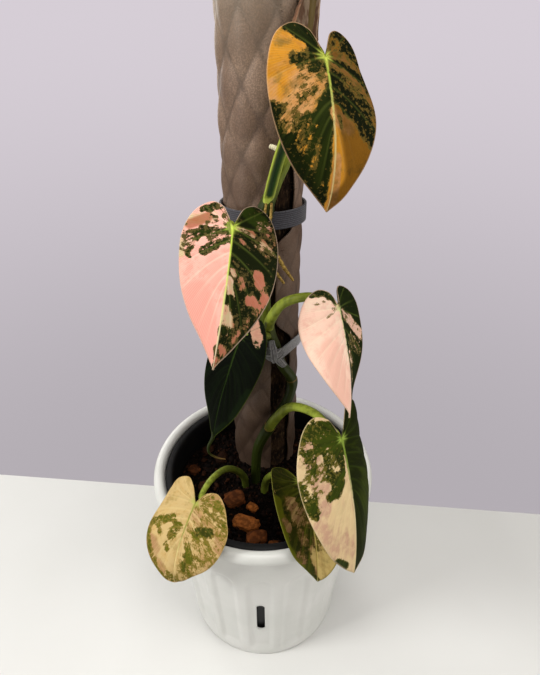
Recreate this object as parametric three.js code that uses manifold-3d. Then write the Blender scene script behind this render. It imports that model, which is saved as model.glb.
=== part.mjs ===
// A pink variegated melanochrysum philodendron in a fluted white pot, tied to a pole of embossed
// plastic sheet rolled round moss. Units are millimetres, +Z is up, the origin is the centre of the
// pot's underside, and the viewer stands at -Y, with +X on the right.
// Pot: a fluted outer pot carries a thin black liner by its flange, and the liner holds the soil.
// Plant: one climbing stem, seven leaf stalks, seven heart-shaped blades, roots and a dry bract.
import * as THREE from "three";
import { mergeVertices } from "three/addons/utils/BufferGeometryUtils.js";
import Module from "manifold-3d";

const wasm = await Module();
wasm.setup();

// Fit between neighbours that touch on the real plant
const GAP = 0.3;

// Outer pot
const POT_HEIGHT = 170;
const RIM_RADIUS = 85;
const NECK_RADIUS = 76.5;
const BASE_RADIUS = 65;
const NECK_Z = 159;
const POT_WALL = 3.4;
const POT_FLOOR = 5;
const FLUTES = 16;
const FLUTE_DEPTH = 1.9;
const FLUTE_HALF_ANGLE = 9.4;
const FLUTE_FOOT_Z = 9;
const FLUTE_SPRING_Z = 112;
const FLUTE_CROWN_Z = 127;
const FRONT_FLUTE_TURN = -1.5;
const SLOT_WIDTH = 6.5;
const SLOT_BOTTOM_Z = 44;
const SLOT_TOP_Z = 86;
const FOOT_ROUND = [3, 3.5];
const WALL_HEIGHTS = [FOOT_ROUND[1], FLUTE_FOOT_Z, 17, FLUTE_SPRING_Z, 118.5, 123.5, 127.5, NECK_Z];
const RIM_PROFILE = [
  [80.5, 159.6],
  [84, 161.6],
  [RIM_RADIUS, 165],
  [84, 168.6],
  [81.5, POT_HEIGHT],
  [78.6, 169.6],
  [77, 167.6],
];
const LEDGE_RADIUS = 76.6;

// Liner and soil
const LINER_SEGMENTS = 48;
const LINER_FLOOR_Z = 22;
const LINER_FOOT_RADIUS = 60.6;
const LINER_NECK_RADIUS = 72.2;
const LINER_WALL = 2;
const LINER_LIP_RADIUS = 76;
const LINER_LIP_Z = 163.2;
const LINER_TOP_Z = 167;
const LINER_ROUND = 3;
const SOIL_TOP_Z = 147;
const SOIL_RISE = 1.6;
const SOIL_ROOM = 0.5;

// Climbing pole: a C of embossed sheet round a moss core
const POLE_AXIS = [1, 36.5];
const POLE_BOTTOM_Z = 90;
const POLE_TOP_Z = 522;
const MOSS_TOP_Z = 514;
const VALLEY_RADIUS = 24.4;
const CREST_RADIUS = 25.9;
const SHEET_BORE_RADIUS = 22.8;
const DIAMOND_HALF_ANGLE = 20;
const DIAMOND_HALF_HEIGHT = 16;
const DIAMOND_START_ANGLE = -7;
const SHEET_GAP_FROM = 12;
const SHEET_GAP_TO = 50;

// Straps round the pole
const STRAP_BORE_RADIUS = 26.3;
const STRAP_THICKNESS = 1.4;
const STRAP_SEGMENTS = 36;
const UPPER_STRAP = { z: 361.5, width: 11, tilt: 5, bump: null };
const LOWER_STRAP = {
  z: 266.5,
  width: 8.5,
  tilt: 9,
  bump: { distance: 30.4, radius: 4.4, angle: 16.6 },
};
const KNOT = { at: [8.6, 1.2, 273], size: [7, 2.6, 4.6], turn: 20 };
const STRAP_ENDS = [
  { points: [[9, 1, 273], [12.5, -0.4, 268], [15.5, 0.6, 263.5]], radii: [2.2, 2.6, 2] },
  { points: [[8, 1, 274], [7, -0.2, 279.5], [6.4, 0.6, 284]], radii: [2, 2.2, 1.7] },
];

// Climbing stem: its axis and its radius at each point, up from the soil
const STEM = {
  points: [
    [-6, 0, 122],
    [-6, 0, 150],
    [-3.8, 2.6, 182],
    [4, 4.6, 200],
    [18.4, 11.2, 223],
    [21.6, 14.2, 239.5],
    [13.4, 8.8, 259.5],
    [9.7, 7.4, 273.5],
    [4.1, 6.2, 290],
    [2.3, 5.9, 311],
    [1.9, 4.2, 345],
    [2.6, 3.6, 372],
    [9, 3.4, 389],
    [16.3, 4.6, 406],
    [22.4, 9.6, 430],
    [25.2, 15.6, 452],
  ],
  radii: [3.4, 3.6, 3.9, 4.2, 3.6, 3.9, 3.5, 3.6, 4.3, 3.5, 4, 4.6, 3.2, 3.2, 3, 2.6],
};

// Heart-shaped half outline: across in half widths, along in midrib lengths from the stalk to the tip
const HALF_OUTLINE = [
  [0.07, -0.055],
  [0.22, -0.155],
  [0.48, -0.2],
  [0.78, -0.13],
  [0.97, 0.03],
  [1, 0.22],
  [0.9, 0.44],
  [0.66, 0.66],
  [0.35, 0.83],
  [0.1, 0.945],
  [0, 1],
];
const BLADE_THICKNESS = 0.9;
const BLADE_ROWS = 14;
const BLADE_COLUMNS = 4;
const MIDRIB_STATIONS = 120;
const VEIN_FREE_SHARE = 0.18;
const VEIN_START_SHARE = 0.82;
const VEIN_BOW = 0.05;
const WAVES_PER_SIDE = 3.5;

// Leaves, numbered down the plant. at: where the stalk meets the blade. heading, pitch and roll:
// where the midrib starts out, in degrees, with heading 0 at the viewer and pitch down from level.
// droop, sweep and twist: how far it has turned at the tip. fold and cup: how far each half, left
// and right, leans back from the midrib, and how much more it leans at its margin.
const LEAVES = [
  {
    at: [30.1, -24.8, 454.2],
    heading: 19.1,
    pitch: 54.7,
    roll: 12.1,
    length: 73.8,
    halfWidth: [28.9, 28.1],
    droop: 66.2,
    droopPower: 1.5,
    sweep: -3,
    fold: [1.5, 13.7],
    cup: [16.6, 8.3],
    twist: -27.7,
    wave: 0.6,
    color: 0x8d6b2c,
  },
  {
    at: [-13.4, -32.9, 378],
    heading: -5,
    pitch: 46.2,
    roll: 12.2,
    length: 74.6,
    halfWidth: [28.7, 28.3],
    droop: 17.7,
    droopPower: 1.1,
    sweep: -19.1,
    fold: [29, 31.7],
    cup: [-14.1, -16.3],
    twist: 5.8,
    wave: 0.6,
    color: 0xe3a48e,
  },
  {
    at: [46.2, -23.4, 324],
    heading: 26.5,
    pitch: 55.3,
    roll: 27.3,
    length: 65.3,
    halfWidth: [31.1, 30.8],
    droop: 3.4,
    droopPower: 1.3,
    sweep: -31.9,
    fold: [-5.4, 24.7],
    cup: [53.7, -30.1],
    twist: 35.3,
    wave: 0.6,
    color: 0xeebfa6,
  },
  {
    at: [49.2, -57, 251.7],
    heading: 27.7,
    pitch: 58.9,
    roll: 3.5,
    length: 97.7,
    halfWidth: [39, 37.6],
    droop: 27,
    droopPower: 1.6,
    sweep: -20.1,
    fold: [-19.1, 5.3],
    cup: [20.6, 70.9],
    twist: 22,
    wave: 0.9,
    color: 0x8f8a5c,
  },
  {
    at: [-44.9, -55.7, 190.3],
    heading: -32.6,
    pitch: 42.3,
    roll: -6,
    length: 61.5,
    halfWidth: [32, 32.7],
    droop: 57.4,
    droopPower: 2.6,
    sweep: 11.7,
    fold: [-8.7, -14.7],
    cup: [54.4, 15.1],
    twist: 29.8,
    wave: 0.9,
    color: 0xc9b070,
  },
  {
    at: [26, -43.2, 197.3],
    heading: 16.9,
    pitch: -2.4,
    roll: -6.5,
    length: 73.4,
    halfWidth: [23.9, 24.7],
    droop: 92,
    droopPower: 1,
    sweep: -10,
    fold: [-10.8, -14.9],
    cup: [-44.5, -26.7],
    twist: -24.6,
    wave: 0.5,
    color: 0x4a4f14,
  },
  {
    at: [-13.8, -2.2, 290],
    heading: -49.4,
    pitch: 64,
    roll: 2.4,
    length: 80.6,
    halfWidth: [23.8, 23.7],
    droop: 13.3,
    droopPower: 1.4,
    sweep: 0.5,
    fold: [-1, 0.6],
    cup: [0, 13],
    twist: -1.8,
    wave: 0.7,
    color: 0x24330f,
  },
];

// Leaf stalks: points from the stem or the soil to just short of the blade, and the radii there
const STALKS = [
  {
    points: [
      [2.6, 3.6, 372],
      [6.4, -1.2, 390],
      [13, -7, 414],
      [22, -14.5, 436],
    ],
    radii: [3.9, 3.7, 2.9, 2.5],
    groove: 0.45,
  },
  {
    points: [
      [1.9, 4.2, 345],
      [0.5, -4, 352],
      [-4, -17, 363],
      [-9.5, -26.5, 371],
    ],
    radii: [3.2, 3, 2.5, 2.2],
    groove: 0,
  },
  {
    points: [
      [4.1, 6.2, 290],
      [6.2, -1.5, 303],
      [14, -8.5, 318.5],
      [28, -15, 326.5],
      [39, -19.4, 327],
    ],
    radii: [3.6, 3.5, 3.1, 2.8, 2.4],
    groove: 0,
  },
  {
    points: [
      [4, 4.6, 200],
      [10, -4.5, 220],
      [19.5, -11, 236],
      [34, -30, 248],
      [44, -48, 250.5],
    ],
    radii: [3.6, 3.5, 3.2, 2.9, 2.5],
    groove: 0,
  },
  {
    points: [
      [-15, -5, 128],
      [-15, -5, 157],
      [-25.5, -15, 178],
      [-35.5, -35, 190],
      [-41.5, -49, 190],
    ],
    radii: [3, 2.9, 2.6, 2.3, 2.1],
    groove: 0,
  },
  {
    points: [
      [1, -11, 128],
      [2, -11, 158],
      [8.5, -20.5, 178],
      [17, -32.5, 190],
      [22, -38.5, 194],
    ],
    radii: [3, 2.9, 2.6, 2.3, 2.1],
    groove: 0,
  },
  {
    points: [
      [5.4, 6.6, 284],
      [1.5, -1.5, 290],
      [-4, -4.4, 292.5],
      [-9, -3.4, 291.8],
    ],
    radii: [2.6, 2.4, 2.1, 1.9],
    groove: 0,
  },
];

// Aerial roots, from the stem outwards
const ROOTS = [
  {
    points: [
      [1.7, -1.2, 369.5],
      [1.6, -2.4, 364],
      [3.1, -2, 356.5],
    ],
    radii: [1, 0.8, 0.6],
  },
  {
    points: [
      [5.2, -0.6, 369.5],
      [6, -1.8, 365],
      [5.6, -1.6, 357],
    ],
    radii: [1, 0.8, 0.6],
  },
  {
    points: [
      [12, 6.8, 403.6],
      [8.8, 8, 406.2],
      [5.4, 8.6, 407.4],
    ],
    radii: [1.5, 1.4, 1.2],
  },
  {
    points: [
      [5.6, 5.6, 347],
      [10, 7.6, 342],
      [15, 9.6, 332.5],
      [20.4, 14.6, 322],
    ],
    radii: [1.2, 1, 0.9, 0.6],
  },
  {
    points: [
      [4.7, 6, 338],
      [8.6, 7.4, 332],
      [14.4, 9.6, 322.5],
    ],
    radii: [1.1, 0.9, 0.6],
  },
];

// Dry bract and the rolled new leaf that comes out of it
const BRACT = {
  points: [
    [22.6, 8.6, 448],
    [22, 9.6, 458],
    [24, 13, 469],
    [27.4, 18.6, 481],
    [29.6, 23.5, 492],
  ],
  radii: [4.6, 7.2, 5.8, 3.2, 0.9],
};
const NEW_LEAF = {
  points: [
    [25.2, 15.6, 455.5],
    [26.2, 18.4, 466],
    [27.4, 24, 484],
    [30, 30.5, 500],
    [33.5, 34, 513],
  ],
  radii: [2.6, 3.2, 3.3, 2.4, 0.5],
};

// Bark and clay chips that lie in the top of the soil: centre, half sizes and turn in degrees
const CHIPS = [
  { at: [-21.7, -19.4], size: [9.5, 8, 4.5], turn: 25 },
  { at: [-12.3, -41.9], size: [12, 7, 5], turn: -20 },
  { at: [-4, -54.2], size: [9, 6.5, 4], turn: 15 },
  { at: [-8, -27], size: [4, 5, 3], turn: 60 },
  { at: [-48, 34], size: [6.5, 5, 3.5], turn: 40 },
  { at: [-57, 10], size: [6, 5, 3.5], turn: -35 },
  { at: [-47, -8], size: [5, 6, 3.5], turn: 10 },
  { at: [-35, 24], size: [7, 5, 4], turn: 70 },
  { at: [26, -12], size: [7, 5, 4], turn: -50 },
  { at: [44, 12], size: [8, 6, 4.5], turn: 30 },
  { at: [35, -33], size: [6, 8, 4], turn: 80 },
  { at: [8, -60], size: [5, 4, 3], turn: 0 },
  { at: [-30, -48], size: [6, 5, 3.5], turn: -70 },
  { at: [52, 36], size: [6, 5, 3.5], turn: 15 },
];
const ROD_STEPS_PER_SPAN = 2;
const CHIP_SINK = 0.35;
const HOLE_ROOM = 1;

const radians = THREE.MathUtils.degToRad;
const vector = (values) => new THREE.Vector3(...values);
const mix = THREE.MathUtils.lerp;
const smooth = THREE.MathUtils.smoothstep;

// A closed geometry as a manifold-3d solid, and back again.
function asSolid(geometry) {
  const bare = geometry.clone();
  bare.deleteAttribute("normal");
  bare.deleteAttribute("uv");
  const merged = mergeVertices(bare, 1e-4);
  const mesh = new wasm.Mesh({
    numProp: 3,
    vertProperties: merged.attributes.position.array,
    triVerts: new Uint32Array(merged.index.array),
  });
  return new wasm.Manifold(mesh);
}

function asGeometry(solid) {
  const mesh = solid.getMesh();
  const geometry = new THREE.BufferGeometry();
  geometry.setAttribute("position", new THREE.BufferAttribute(mesh.vertProperties, 3));
  geometry.setIndex(new THREE.BufferAttribute(mesh.triVerts, 1));
  geometry.computeVertexNormals();
  return geometry;
}

// The largest body of a solid: cutting can leave a loose scrap, which is dropped.
function largestBody(solid) {
  return solid.decompose().sort((a, b) => b.volume() - a.volume())[0];
}

// Turns a list of points and a list of faces, with 3 or more corners each, into a geometry.
// Faces that a shared point has closed to a line are left out.
function fromFaces(points, faces) {
  const keys = points.map((p) => p.toArray().map((v) => v.toFixed(4)).join());
  const corners = [];
  for (const face of faces) {
    for (let i = 1; i + 1 < face.length; i++) {
      const triangle = [face[0], face[i], face[i + 1]];
      if (new Set(triangle.map((k) => keys[k])).size === 3) corners.push(...triangle);
    }
  }
  const geometry = new THREE.BufferGeometry().setFromPoints(points);
  return geometry.setIndex(corners);
}

// A body round the Z axis. Each ring gives [radius, z] for an angle from the front, and the first
// and last rings lie on the axis. Rings run from the underside outwards and up.
function revolved(rings, angles) {
  const points = [];
  const faces = [];
  const count = angles.length;
  for (const ring of rings) {
    for (const angle of angles) {
      const [radius, z] = ring(angle);
      const turn = radians(angle);
      points.push(new THREE.Vector3(radius * Math.sin(turn), -radius * Math.cos(turn), z));
    }
  }
  for (let ring = 0; ring + 1 < rings.length; ring++) {
    for (let i = 0; i < count; i++) {
      const a = ring * count + i;
      const b = ring * count + ((i + 1) % count);
      faces.push([a, b, b + count, a + count]);
    }
  }
  return fromFaces(points, faces);
}

const evenAngles = (count) => Array.from({ length: count }, (_, i) => (360 * i) / count);
const ringAt = (radius, z) => () => [radius, z];

// A rod along a smooth curve through the points. shape(share, angle) scales the radius round it,
// and angle 0 starts out towards the viewer.
function rod({ points, radii }, sides = 8, shape = () => 1, grow = 0) {
  const curve = new THREE.CatmullRomCurve3(points.map(vector), false, "centripetal");
  const spans = points.length - 1;
  const steps = spans * ROD_STEPS_PER_SPAN;
  const rings = [];
  const centres = [];
  let front = new THREE.Vector3(0.15, -1, 0.1);
  for (let step = 0; step <= steps; step++) {
    const share = step / steps;
    const place = share * spans;
    const span = Math.min(Math.floor(place), spans - 1);
    const radius = mix(radii[span], radii[span + 1], place - span) + grow;
    const tangent = curve.getTangent(share);
    front = front.clone().addScaledVector(tangent, -front.dot(tangent)).normalize();
    const side = new THREE.Vector3().crossVectors(tangent, front);
    const beyond = step === 0 ? -grow : step === steps ? grow : 0;
    const centre = curve.getPoint(share).addScaledVector(tangent, beyond);
    centres.push(centre);
    for (let k = 0; k < sides; k++) {
      const angle = (2 * Math.PI * k) / sides;
      const reach = radius * shape(share, angle);
      const point = centre.clone().addScaledVector(front, reach * Math.cos(angle));
      rings.push(point.addScaledVector(side, reach * Math.sin(angle)));
    }
  }
  const faces = [];
  for (let step = 0; step < steps; step++) {
    for (let k = 0; k < sides; k++) {
      const a = step * sides + k;
      const b = step * sides + ((k + 1) % sides);
      faces.push([a, b, b + sides, a + sides]);
    }
  }
  const first = rings.length;
  for (let k = 0; k < sides; k++) {
    const next = (k + 1) % sides;
    faces.push([first, next, k]);
    faces.push([first + 1, steps * sides + k, steps * sides + next]);
  }
  return fromFaces([...rings, centres[0], centres.at(-1)], faces);
}

// The stem with room round it, to cut its neighbours clear.
const stemWithRoom = () => asSolid(rod(STEM, 10, undefined, GAP));

// The surface of a leaf: where a point of the flat blade lies, and the way its upper face looks.
// across is in millimetres, left negative, and along is in midrib lengths from the stalk.
function bladeSurface(leaf) {
  const from = -0.25;
  const to = 1.05;
  const step = (to - from) / MIDRIB_STATIONS;
  const stations = [];
  for (let i = 0; i <= MIDRIB_STATIONS; i++) {
    const along = from + i * step;
    const grown = Math.max(along, 0);
    const pitch = radians(leaf.pitch + leaf.droop * grown ** leaf.droopPower);
    const heading = radians(leaf.heading + leaf.sweep * grown);
    const roll = radians(leaf.roll + leaf.twist * grown);
    const ahead = new THREE.Vector3(
      Math.sin(heading) * Math.cos(pitch),
      -Math.cos(heading) * Math.cos(pitch),
      -Math.sin(pitch),
    );
    const level = new THREE.Vector3(Math.cos(heading), Math.sin(heading), 0);
    const top = new THREE.Vector3().crossVectors(ahead, level);
    const side = level.clone().multiplyScalar(Math.cos(roll)).addScaledVector(top, -Math.sin(roll));
    const up = top.clone().multiplyScalar(Math.cos(roll)).addScaledVector(level, Math.sin(roll));
    const last = stations.at(-1);
    const place = last ? last.place.clone() : new THREE.Vector3();
    if (last) place.addScaledVector(ahead, step * leaf.length);
    stations.push({ place, ahead, side, up });
  }
  const stalkStation = Math.round(-from / step);
  const shift = vector(leaf.at).sub(stations[stalkStation].place);
  const at = (key, along) => {
    const place = (along - from) / step;
    const i = Math.min(Math.max(Math.floor(place), 0), MIDRIB_STATIONS - 1);
    return stations[i][key].clone().lerp(stations[i + 1][key], place - i);
  };
  return (across, along) => {
    const hand = across < 0 ? 0 : 1;
    const outwards = across < 0 ? -1 : 1;
    const share = Math.abs(across) / leaf.halfWidth[hand];
    const lean = radians(leaf.fold[hand] + (leaf.cup[hand] * share) / 2);
    const edgeLean = radians(leaf.fold[hand] + leaf.cup[hand] * share);
    const side = at("side", along);
    const up = at("up", along);
    const point = at("place", along).add(shift);
    point.addScaledVector(side, across * Math.cos(lean));
    point.addScaledVector(up, -Math.abs(across) * Math.sin(lean));
    const normal = up.multiplyScalar(Math.cos(edgeLean));
    normal.addScaledVector(side, outwards * Math.sin(edgeLean)).normalize();
    return { point, normal, ahead: at("ahead", along) };
  };
}

// A blade as one closed body between two heights over its upper face. Rows follow the side veins:
// the first rows spread from the stalk, the later ones leave the midrib further and further along.
function blade(leaf, topHeight, bottomHeight) {
  const surface = bladeSurface(leaf);
  const outline = new THREE.SplineCurve(HALF_OUTLINE.map((p) => new THREE.Vector2(...p)));
  const points = [];
  const faces = [];
  const perSheet = (BLADE_ROWS + 1) * (BLADE_COLUMNS + 1);
  [0, 1].forEach((hand) => {
    const outwards = hand ? 1 : -1;
    const start = points.length;
    for (const height of [topHeight, bottomHeight]) {
      for (let row = 0; row <= BLADE_ROWS; row++) {
        const edge = outline.getPoint(row / BLADE_ROWS);
        const root = Math.max(0, (edge.y - VEIN_FREE_SHARE) * VEIN_START_SHARE);
        for (let column = 0; column <= BLADE_COLUMNS; column++) {
          const share = column / BLADE_COLUMNS;
          const bow = VEIN_BOW * 4 * share * (1 - share) * Math.max(0, edge.y);
          const across = outwards * edge.x * share * leaf.halfWidth[hand];
          const { point, normal } = surface(across, mix(root, edge.y, share) - bow);
          const ripple = Math.sin((2 * Math.PI * WAVES_PER_SIDE * row) / BLADE_ROWS + hand);
          const lift = leaf.wave * ripple * share ** 2 * smooth(edge.x, 0, 0.3);
          points.push(point.addScaledVector(normal, height + lift));
        }
      }
    }
    const at = (sheet, row, column) =>
      start + sheet * perSheet + row * (BLADE_COLUMNS + 1) + column;
    const add = (...face) => faces.push(hand ? face.reverse() : face);
    for (let row = 0; row < BLADE_ROWS; row++) {
      for (let column = 0; column < BLADE_COLUMNS; column++) {
        const corners = (sheet) => [
          at(sheet, row, column),
          at(sheet, row + 1, column),
          at(sheet, row + 1, column + 1),
          at(sheet, row, column + 1),
        ];
        const [a, b, c, d] = corners(0);
        add(a, c, b);
        add(a, d, c);
        const [e, f, g, h] = corners(1);
        add(e, f, g);
        add(e, g, h);
      }
      const rim = BLADE_COLUMNS;
      add(at(0, row, rim), at(1, row, rim), at(1, row + 1, rim), at(0, row + 1, rim));
    }
    for (let column = 0; column < BLADE_COLUMNS; column++) {
      add(at(0, 0, column), at(1, 0, column), at(1, 0, column + 1), at(0, 0, column + 1));
    }
  });
  return fromFaces(points, faces);
}

// Outer pot, fluted outside and plain inside, with a ledge that the liner hangs on.
function fluteAngles() {
  const angles = [];
  for (let flute = 0; flute < FLUTES; flute++) {
    const middle = FRONT_FLUTE_TURN + (360 * flute) / FLUTES;
    for (const share of [-1, -0.55, 0, 0.55, 1]) angles.push(middle + share * FLUTE_HALF_ANGLE);
  }
  return angles;
}

function outerRadius(angle, z) {
  const plain = mix(BASE_RADIUS, NECK_RADIUS, z / NECK_Z);
  const pitch = 360 / FLUTES;
  const fromMiddle = angle - FRONT_FLUTE_TURN - pitch * Math.round((angle - FRONT_FLUTE_TURN) / pitch);
  const across = Math.abs(fromMiddle) / FLUTE_HALF_ANGLE;
  const rise = Math.max(0, (z - FLUTE_SPRING_Z) / (FLUTE_CROWN_Z - FLUTE_SPRING_Z));
  const inside = 1 - Math.hypot(across, rise);
  const foot = smooth(z, FLUTE_FOOT_Z, FLUTE_FOOT_Z + 8);
  return plain - FLUTE_DEPTH * smooth(inside, 0, 0.45) * foot;
}

function potOuter() {
  const ledgeZ = LINER_LIP_Z - GAP;
  const rings = [
    ringAt(0, 0),
    ringAt(BASE_RADIUS - FOOT_ROUND[0], 0),
    ...WALL_HEIGHTS.map((z) => (angle) => [outerRadius(angle, z), z]),
    ...RIM_PROFILE.map(([radius, z]) => ringAt(radius, z)),
    ringAt(LEDGE_RADIUS, ledgeZ),
    ringAt(NECK_RADIUS - POT_WALL, ledgeZ),
    ringAt(BASE_RADIUS - POT_WALL, POT_FLOOR),
    ringAt(0, POT_FLOOR),
  ];
  const body = asSolid(revolved(rings, fluteAngles()));
  const outline = new THREE.Shape();
  const half = SLOT_WIDTH / 2;
  outline.absarc(0, SLOT_TOP_Z - half, half, 0, Math.PI);
  outline.absarc(0, SLOT_BOTTOM_Z + half, half, Math.PI, 2 * Math.PI);
  const slot = new THREE.ExtrudeGeometry(outline, {
    depth: 20,
    bevelEnabled: false,
    curveSegments: 6,
  });
  slot.rotateX(Math.PI / 2);
  slot.translate(0, -BASE_RADIUS + 5, 0);
  slot.rotateZ(radians(FRONT_FLUTE_TURN));
  return asGeometry(body.subtract(asSolid(slot)));
}

// Liner: a thin black pot that hangs by its lip, with a floor over the outer pot's reservoir.
function linerRadius(z) {
  const share = (z - LINER_FLOOR_Z) / (LINER_LIP_Z - LINER_FLOOR_Z);
  return mix(LINER_FOOT_RADIUS, LINER_NECK_RADIUS, share);
}

function potLiner() {
  const footZ = LINER_FLOOR_Z + LINER_ROUND;
  const floorZ = LINER_FLOOR_Z + LINER_WALL;
  const rings = [
    ringAt(0, LINER_FLOOR_Z),
    ringAt(LINER_FOOT_RADIUS - LINER_ROUND, LINER_FLOOR_Z),
    ringAt(linerRadius(footZ), footZ),
    ringAt(LINER_NECK_RADIUS, LINER_LIP_Z),
    ringAt(LINER_LIP_RADIUS, LINER_LIP_Z),
    ringAt(LINER_LIP_RADIUS, LINER_TOP_Z - 1),
    ringAt(LINER_LIP_RADIUS - 1, LINER_TOP_Z),
    ringAt(LINER_NECK_RADIUS - LINER_WALL + 1, LINER_TOP_Z),
    ringAt(LINER_NECK_RADIUS - LINER_WALL, LINER_TOP_Z - 1),
    ringAt(linerRadius(floorZ + LINER_ROUND) - LINER_WALL, floorZ + LINER_ROUND),
    ringAt(LINER_FOOT_RADIUS - LINER_WALL - LINER_ROUND, floorZ),
    ringAt(0, floorZ),
  ];
  return revolved(rings, evenAngles(LINER_SEGMENTS));
}

// Height of the soil's top before the chips: low mounds, lower along the liner.
function soilHeight(x, y) {
  const mounds = Math.sin(x / 9 + 1) * Math.cos(y / 11) + 0.6 * Math.sin((x + y) / 6);
  return SOIL_TOP_Z + SOIL_RISE * mounds;
}

function chip({ at: [x, y], size, turn }) {
  const stone = new THREE.IcosahedronGeometry(1, 0);
  stone.scale(...size);
  stone.rotateX(radians(turn / 5));
  stone.rotateZ(radians(turn));
  return stone.translate(x, y, soilHeight(x, y) + size[2] * CHIP_SINK);
}

// A plain upright hole for a stem or stalk, as wide as it is in the soil and open at the top.
function plantingHole({ points, radii }) {
  const [x, y, bottom] = points[0];
  const [x2, y2] = points[1];
  const reach = Math.hypot(x2 - x, y2 - y) / 2 + Math.max(radii[0], radii[1]) + GAP + HOLE_ROOM;
  const height = SOIL_TOP_Z + 20 - bottom;
  const hole = new THREE.CylinderGeometry(reach, reach, height, 16);
  hole.rotateX(Math.PI / 2);
  return hole.translate((x + x2) / 2, (y + y2) / 2, bottom - GAP + height / 2);
}

function soil() {
  const innerRadius = (z) => linerRadius(z) - LINER_WALL - SOIL_ROOM;
  const floorZ = LINER_FLOOR_Z + LINER_WALL + GAP;
  const wallZ = floorZ + LINER_ROUND;
  const edgeZ = SOIL_TOP_Z - 2 * SOIL_RISE;
  const edgeRadius = innerRadius(edgeZ);
  const topRing = (radius) => (angle) => {
    const turn = radians(angle);
    return [radius, soilHeight(radius * Math.sin(turn), -radius * Math.cos(turn))];
  };
  const rings = [
    ringAt(0, floorZ),
    ringAt(innerRadius(floorZ) - LINER_ROUND, floorZ),
    ringAt(innerRadius(wallZ), wallZ),
    ringAt(edgeRadius, edgeZ),
    ...[0.9, 0.62, 0.32, 0].map((share) => topRing(edgeRadius * share)),
  ];
  let body = asSolid(revolved(rings, evenAngles(LINER_SEGMENTS)));
  for (const piece of CHIPS) body = body.add(asSolid(chip(piece)));
  const poleRoom = CREST_RADIUS + SOIL_ROOM;
  const pole = new THREE.CylinderGeometry(poleRoom, poleRoom, POT_HEIGHT, 36);
  pole.rotateX(Math.PI / 2);
  pole.translate(...POLE_AXIS, POLE_BOTTOM_Z - GAP + POT_HEIGHT / 2);
  body = body.subtract(asSolid(pole));
  for (const piece of [STEM, STALKS[4], STALKS[5]]) {
    body = body.subtract(asSolid(plantingHole(piece)));
  }
  return asGeometry(largestBody(body));
}

// Embossed sheet: a lattice of diamonds, each with its crest in the middle and its corners in the
// valleys, so every second point of the lattice is high. The sheet is open along one strip.
function poleSheet() {
  const columns = 360 / DIAMOND_HALF_ANGLE;
  const rows = (POLE_TOP_Z - POLE_BOTTOM_Z) / DIAMOND_HALF_HEIGHT;
  const points = [];
  const faces = [];
  for (let row = 0; row <= rows; row++) {
    for (let column = 0; column < columns; column++) {
      const radius = (row + column) % 2 ? CREST_RADIUS : VALLEY_RADIUS;
      const turn = radians(DIAMOND_START_ANGLE + column * DIAMOND_HALF_ANGLE);
      const z = POLE_BOTTOM_Z + row * DIAMOND_HALF_HEIGHT;
      points.push(new THREE.Vector3(radius * Math.sin(turn), -radius * Math.cos(turn), z));
    }
  }
  for (let row = 0; row < rows; row++) {
    for (let column = 0; column < columns; column++) {
      const a = row * columns + column;
      const b = row * columns + ((column + 1) % columns);
      const [c, d] = [b + columns, a + columns];
      faces.push(...((row + column) % 2 ? [[a, b, d], [b, c, d]] : [[a, b, c], [a, c, d]]));
    }
  }
  const bottom = points.push(new THREE.Vector3(0, 0, POLE_BOTTOM_Z)) - 1;
  const top = points.push(new THREE.Vector3(0, 0, POLE_TOP_Z)) - 1;
  for (let column = 0; column < columns; column++) {
    const next = (column + 1) % columns;
    faces.push([bottom, next, column]);
    faces.push([top, rows * columns + column, rows * columns + next]);
  }
  const height = POLE_TOP_Z - POLE_BOTTOM_Z + 20;
  const middle = (POLE_TOP_Z + POLE_BOTTOM_Z) / 2;
  const bore = new THREE.CylinderGeometry(SHEET_BORE_RADIUS, SHEET_BORE_RADIUS, height, 30);
  bore.rotateX(Math.PI / 2);
  bore.translate(0, 0, middle);
  const strip = new THREE.Shape();
  strip.moveTo(0, 0);
  for (const share of [0, 0.5, 1]) {
    const turn = radians(mix(SHEET_GAP_FROM, SHEET_GAP_TO, share));
    strip.lineTo(40 * Math.sin(turn), -40 * Math.cos(turn));
  }
  const wedge = new THREE.ExtrudeGeometry(strip, { depth: height, bevelEnabled: false });
  wedge.translate(0, 0, middle - height / 2);
  const sheet = asSolid(fromFaces(points, faces));
  const opened = sheet.subtract(asSolid(bore)).subtract(asSolid(wedge));
  return asGeometry(opened).translate(...POLE_AXIS, 0);
}

function poleMoss() {
  const radius = SHEET_BORE_RADIUS - GAP - 0.2;
  const heights = [0, 0.25, 0.5, 0.75, 1].map((share) => mix(POLE_BOTTOM_Z, MOSS_TOP_Z, share));
  const rings = [
    ringAt(0, POLE_BOTTOM_Z),
    ...heights.map((z) => ringAt(radius, z)),
    ringAt(radius * 0.6, MOSS_TOP_Z + 2),
    ringAt(0, MOSS_TOP_Z + 1),
  ];
  return revolved(rings, evenAngles(24)).translate(...POLE_AXIS, 0);
}

// Distance from the pole's axis to a strap pulled tight round it and, where it has a bump, round
// the stem too: an arc round the pole, straight runs, and an arc round the stem.
function strapRadius(angle, radius, bump, grow) {
  if (!bump) return radius;
  const off = Math.abs(THREE.MathUtils.euclideanModulo(angle - bump.angle + 180, 360) - 180);
  const turn = radians(off);
  const leave = Math.acos((radius - bump.radius - grow) / bump.distance);
  if (turn >= leave) return radius;
  const round = bump.radius + grow;
  const reach = Math.atan2(round * Math.sin(leave), bump.distance + round * Math.cos(leave));
  if (turn > reach) return radius / Math.cos(leave - turn);
  const sideways = bump.distance * Math.sin(turn);
  return bump.distance * Math.cos(turn) + Math.sqrt(round ** 2 - sideways ** 2);
}

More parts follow.
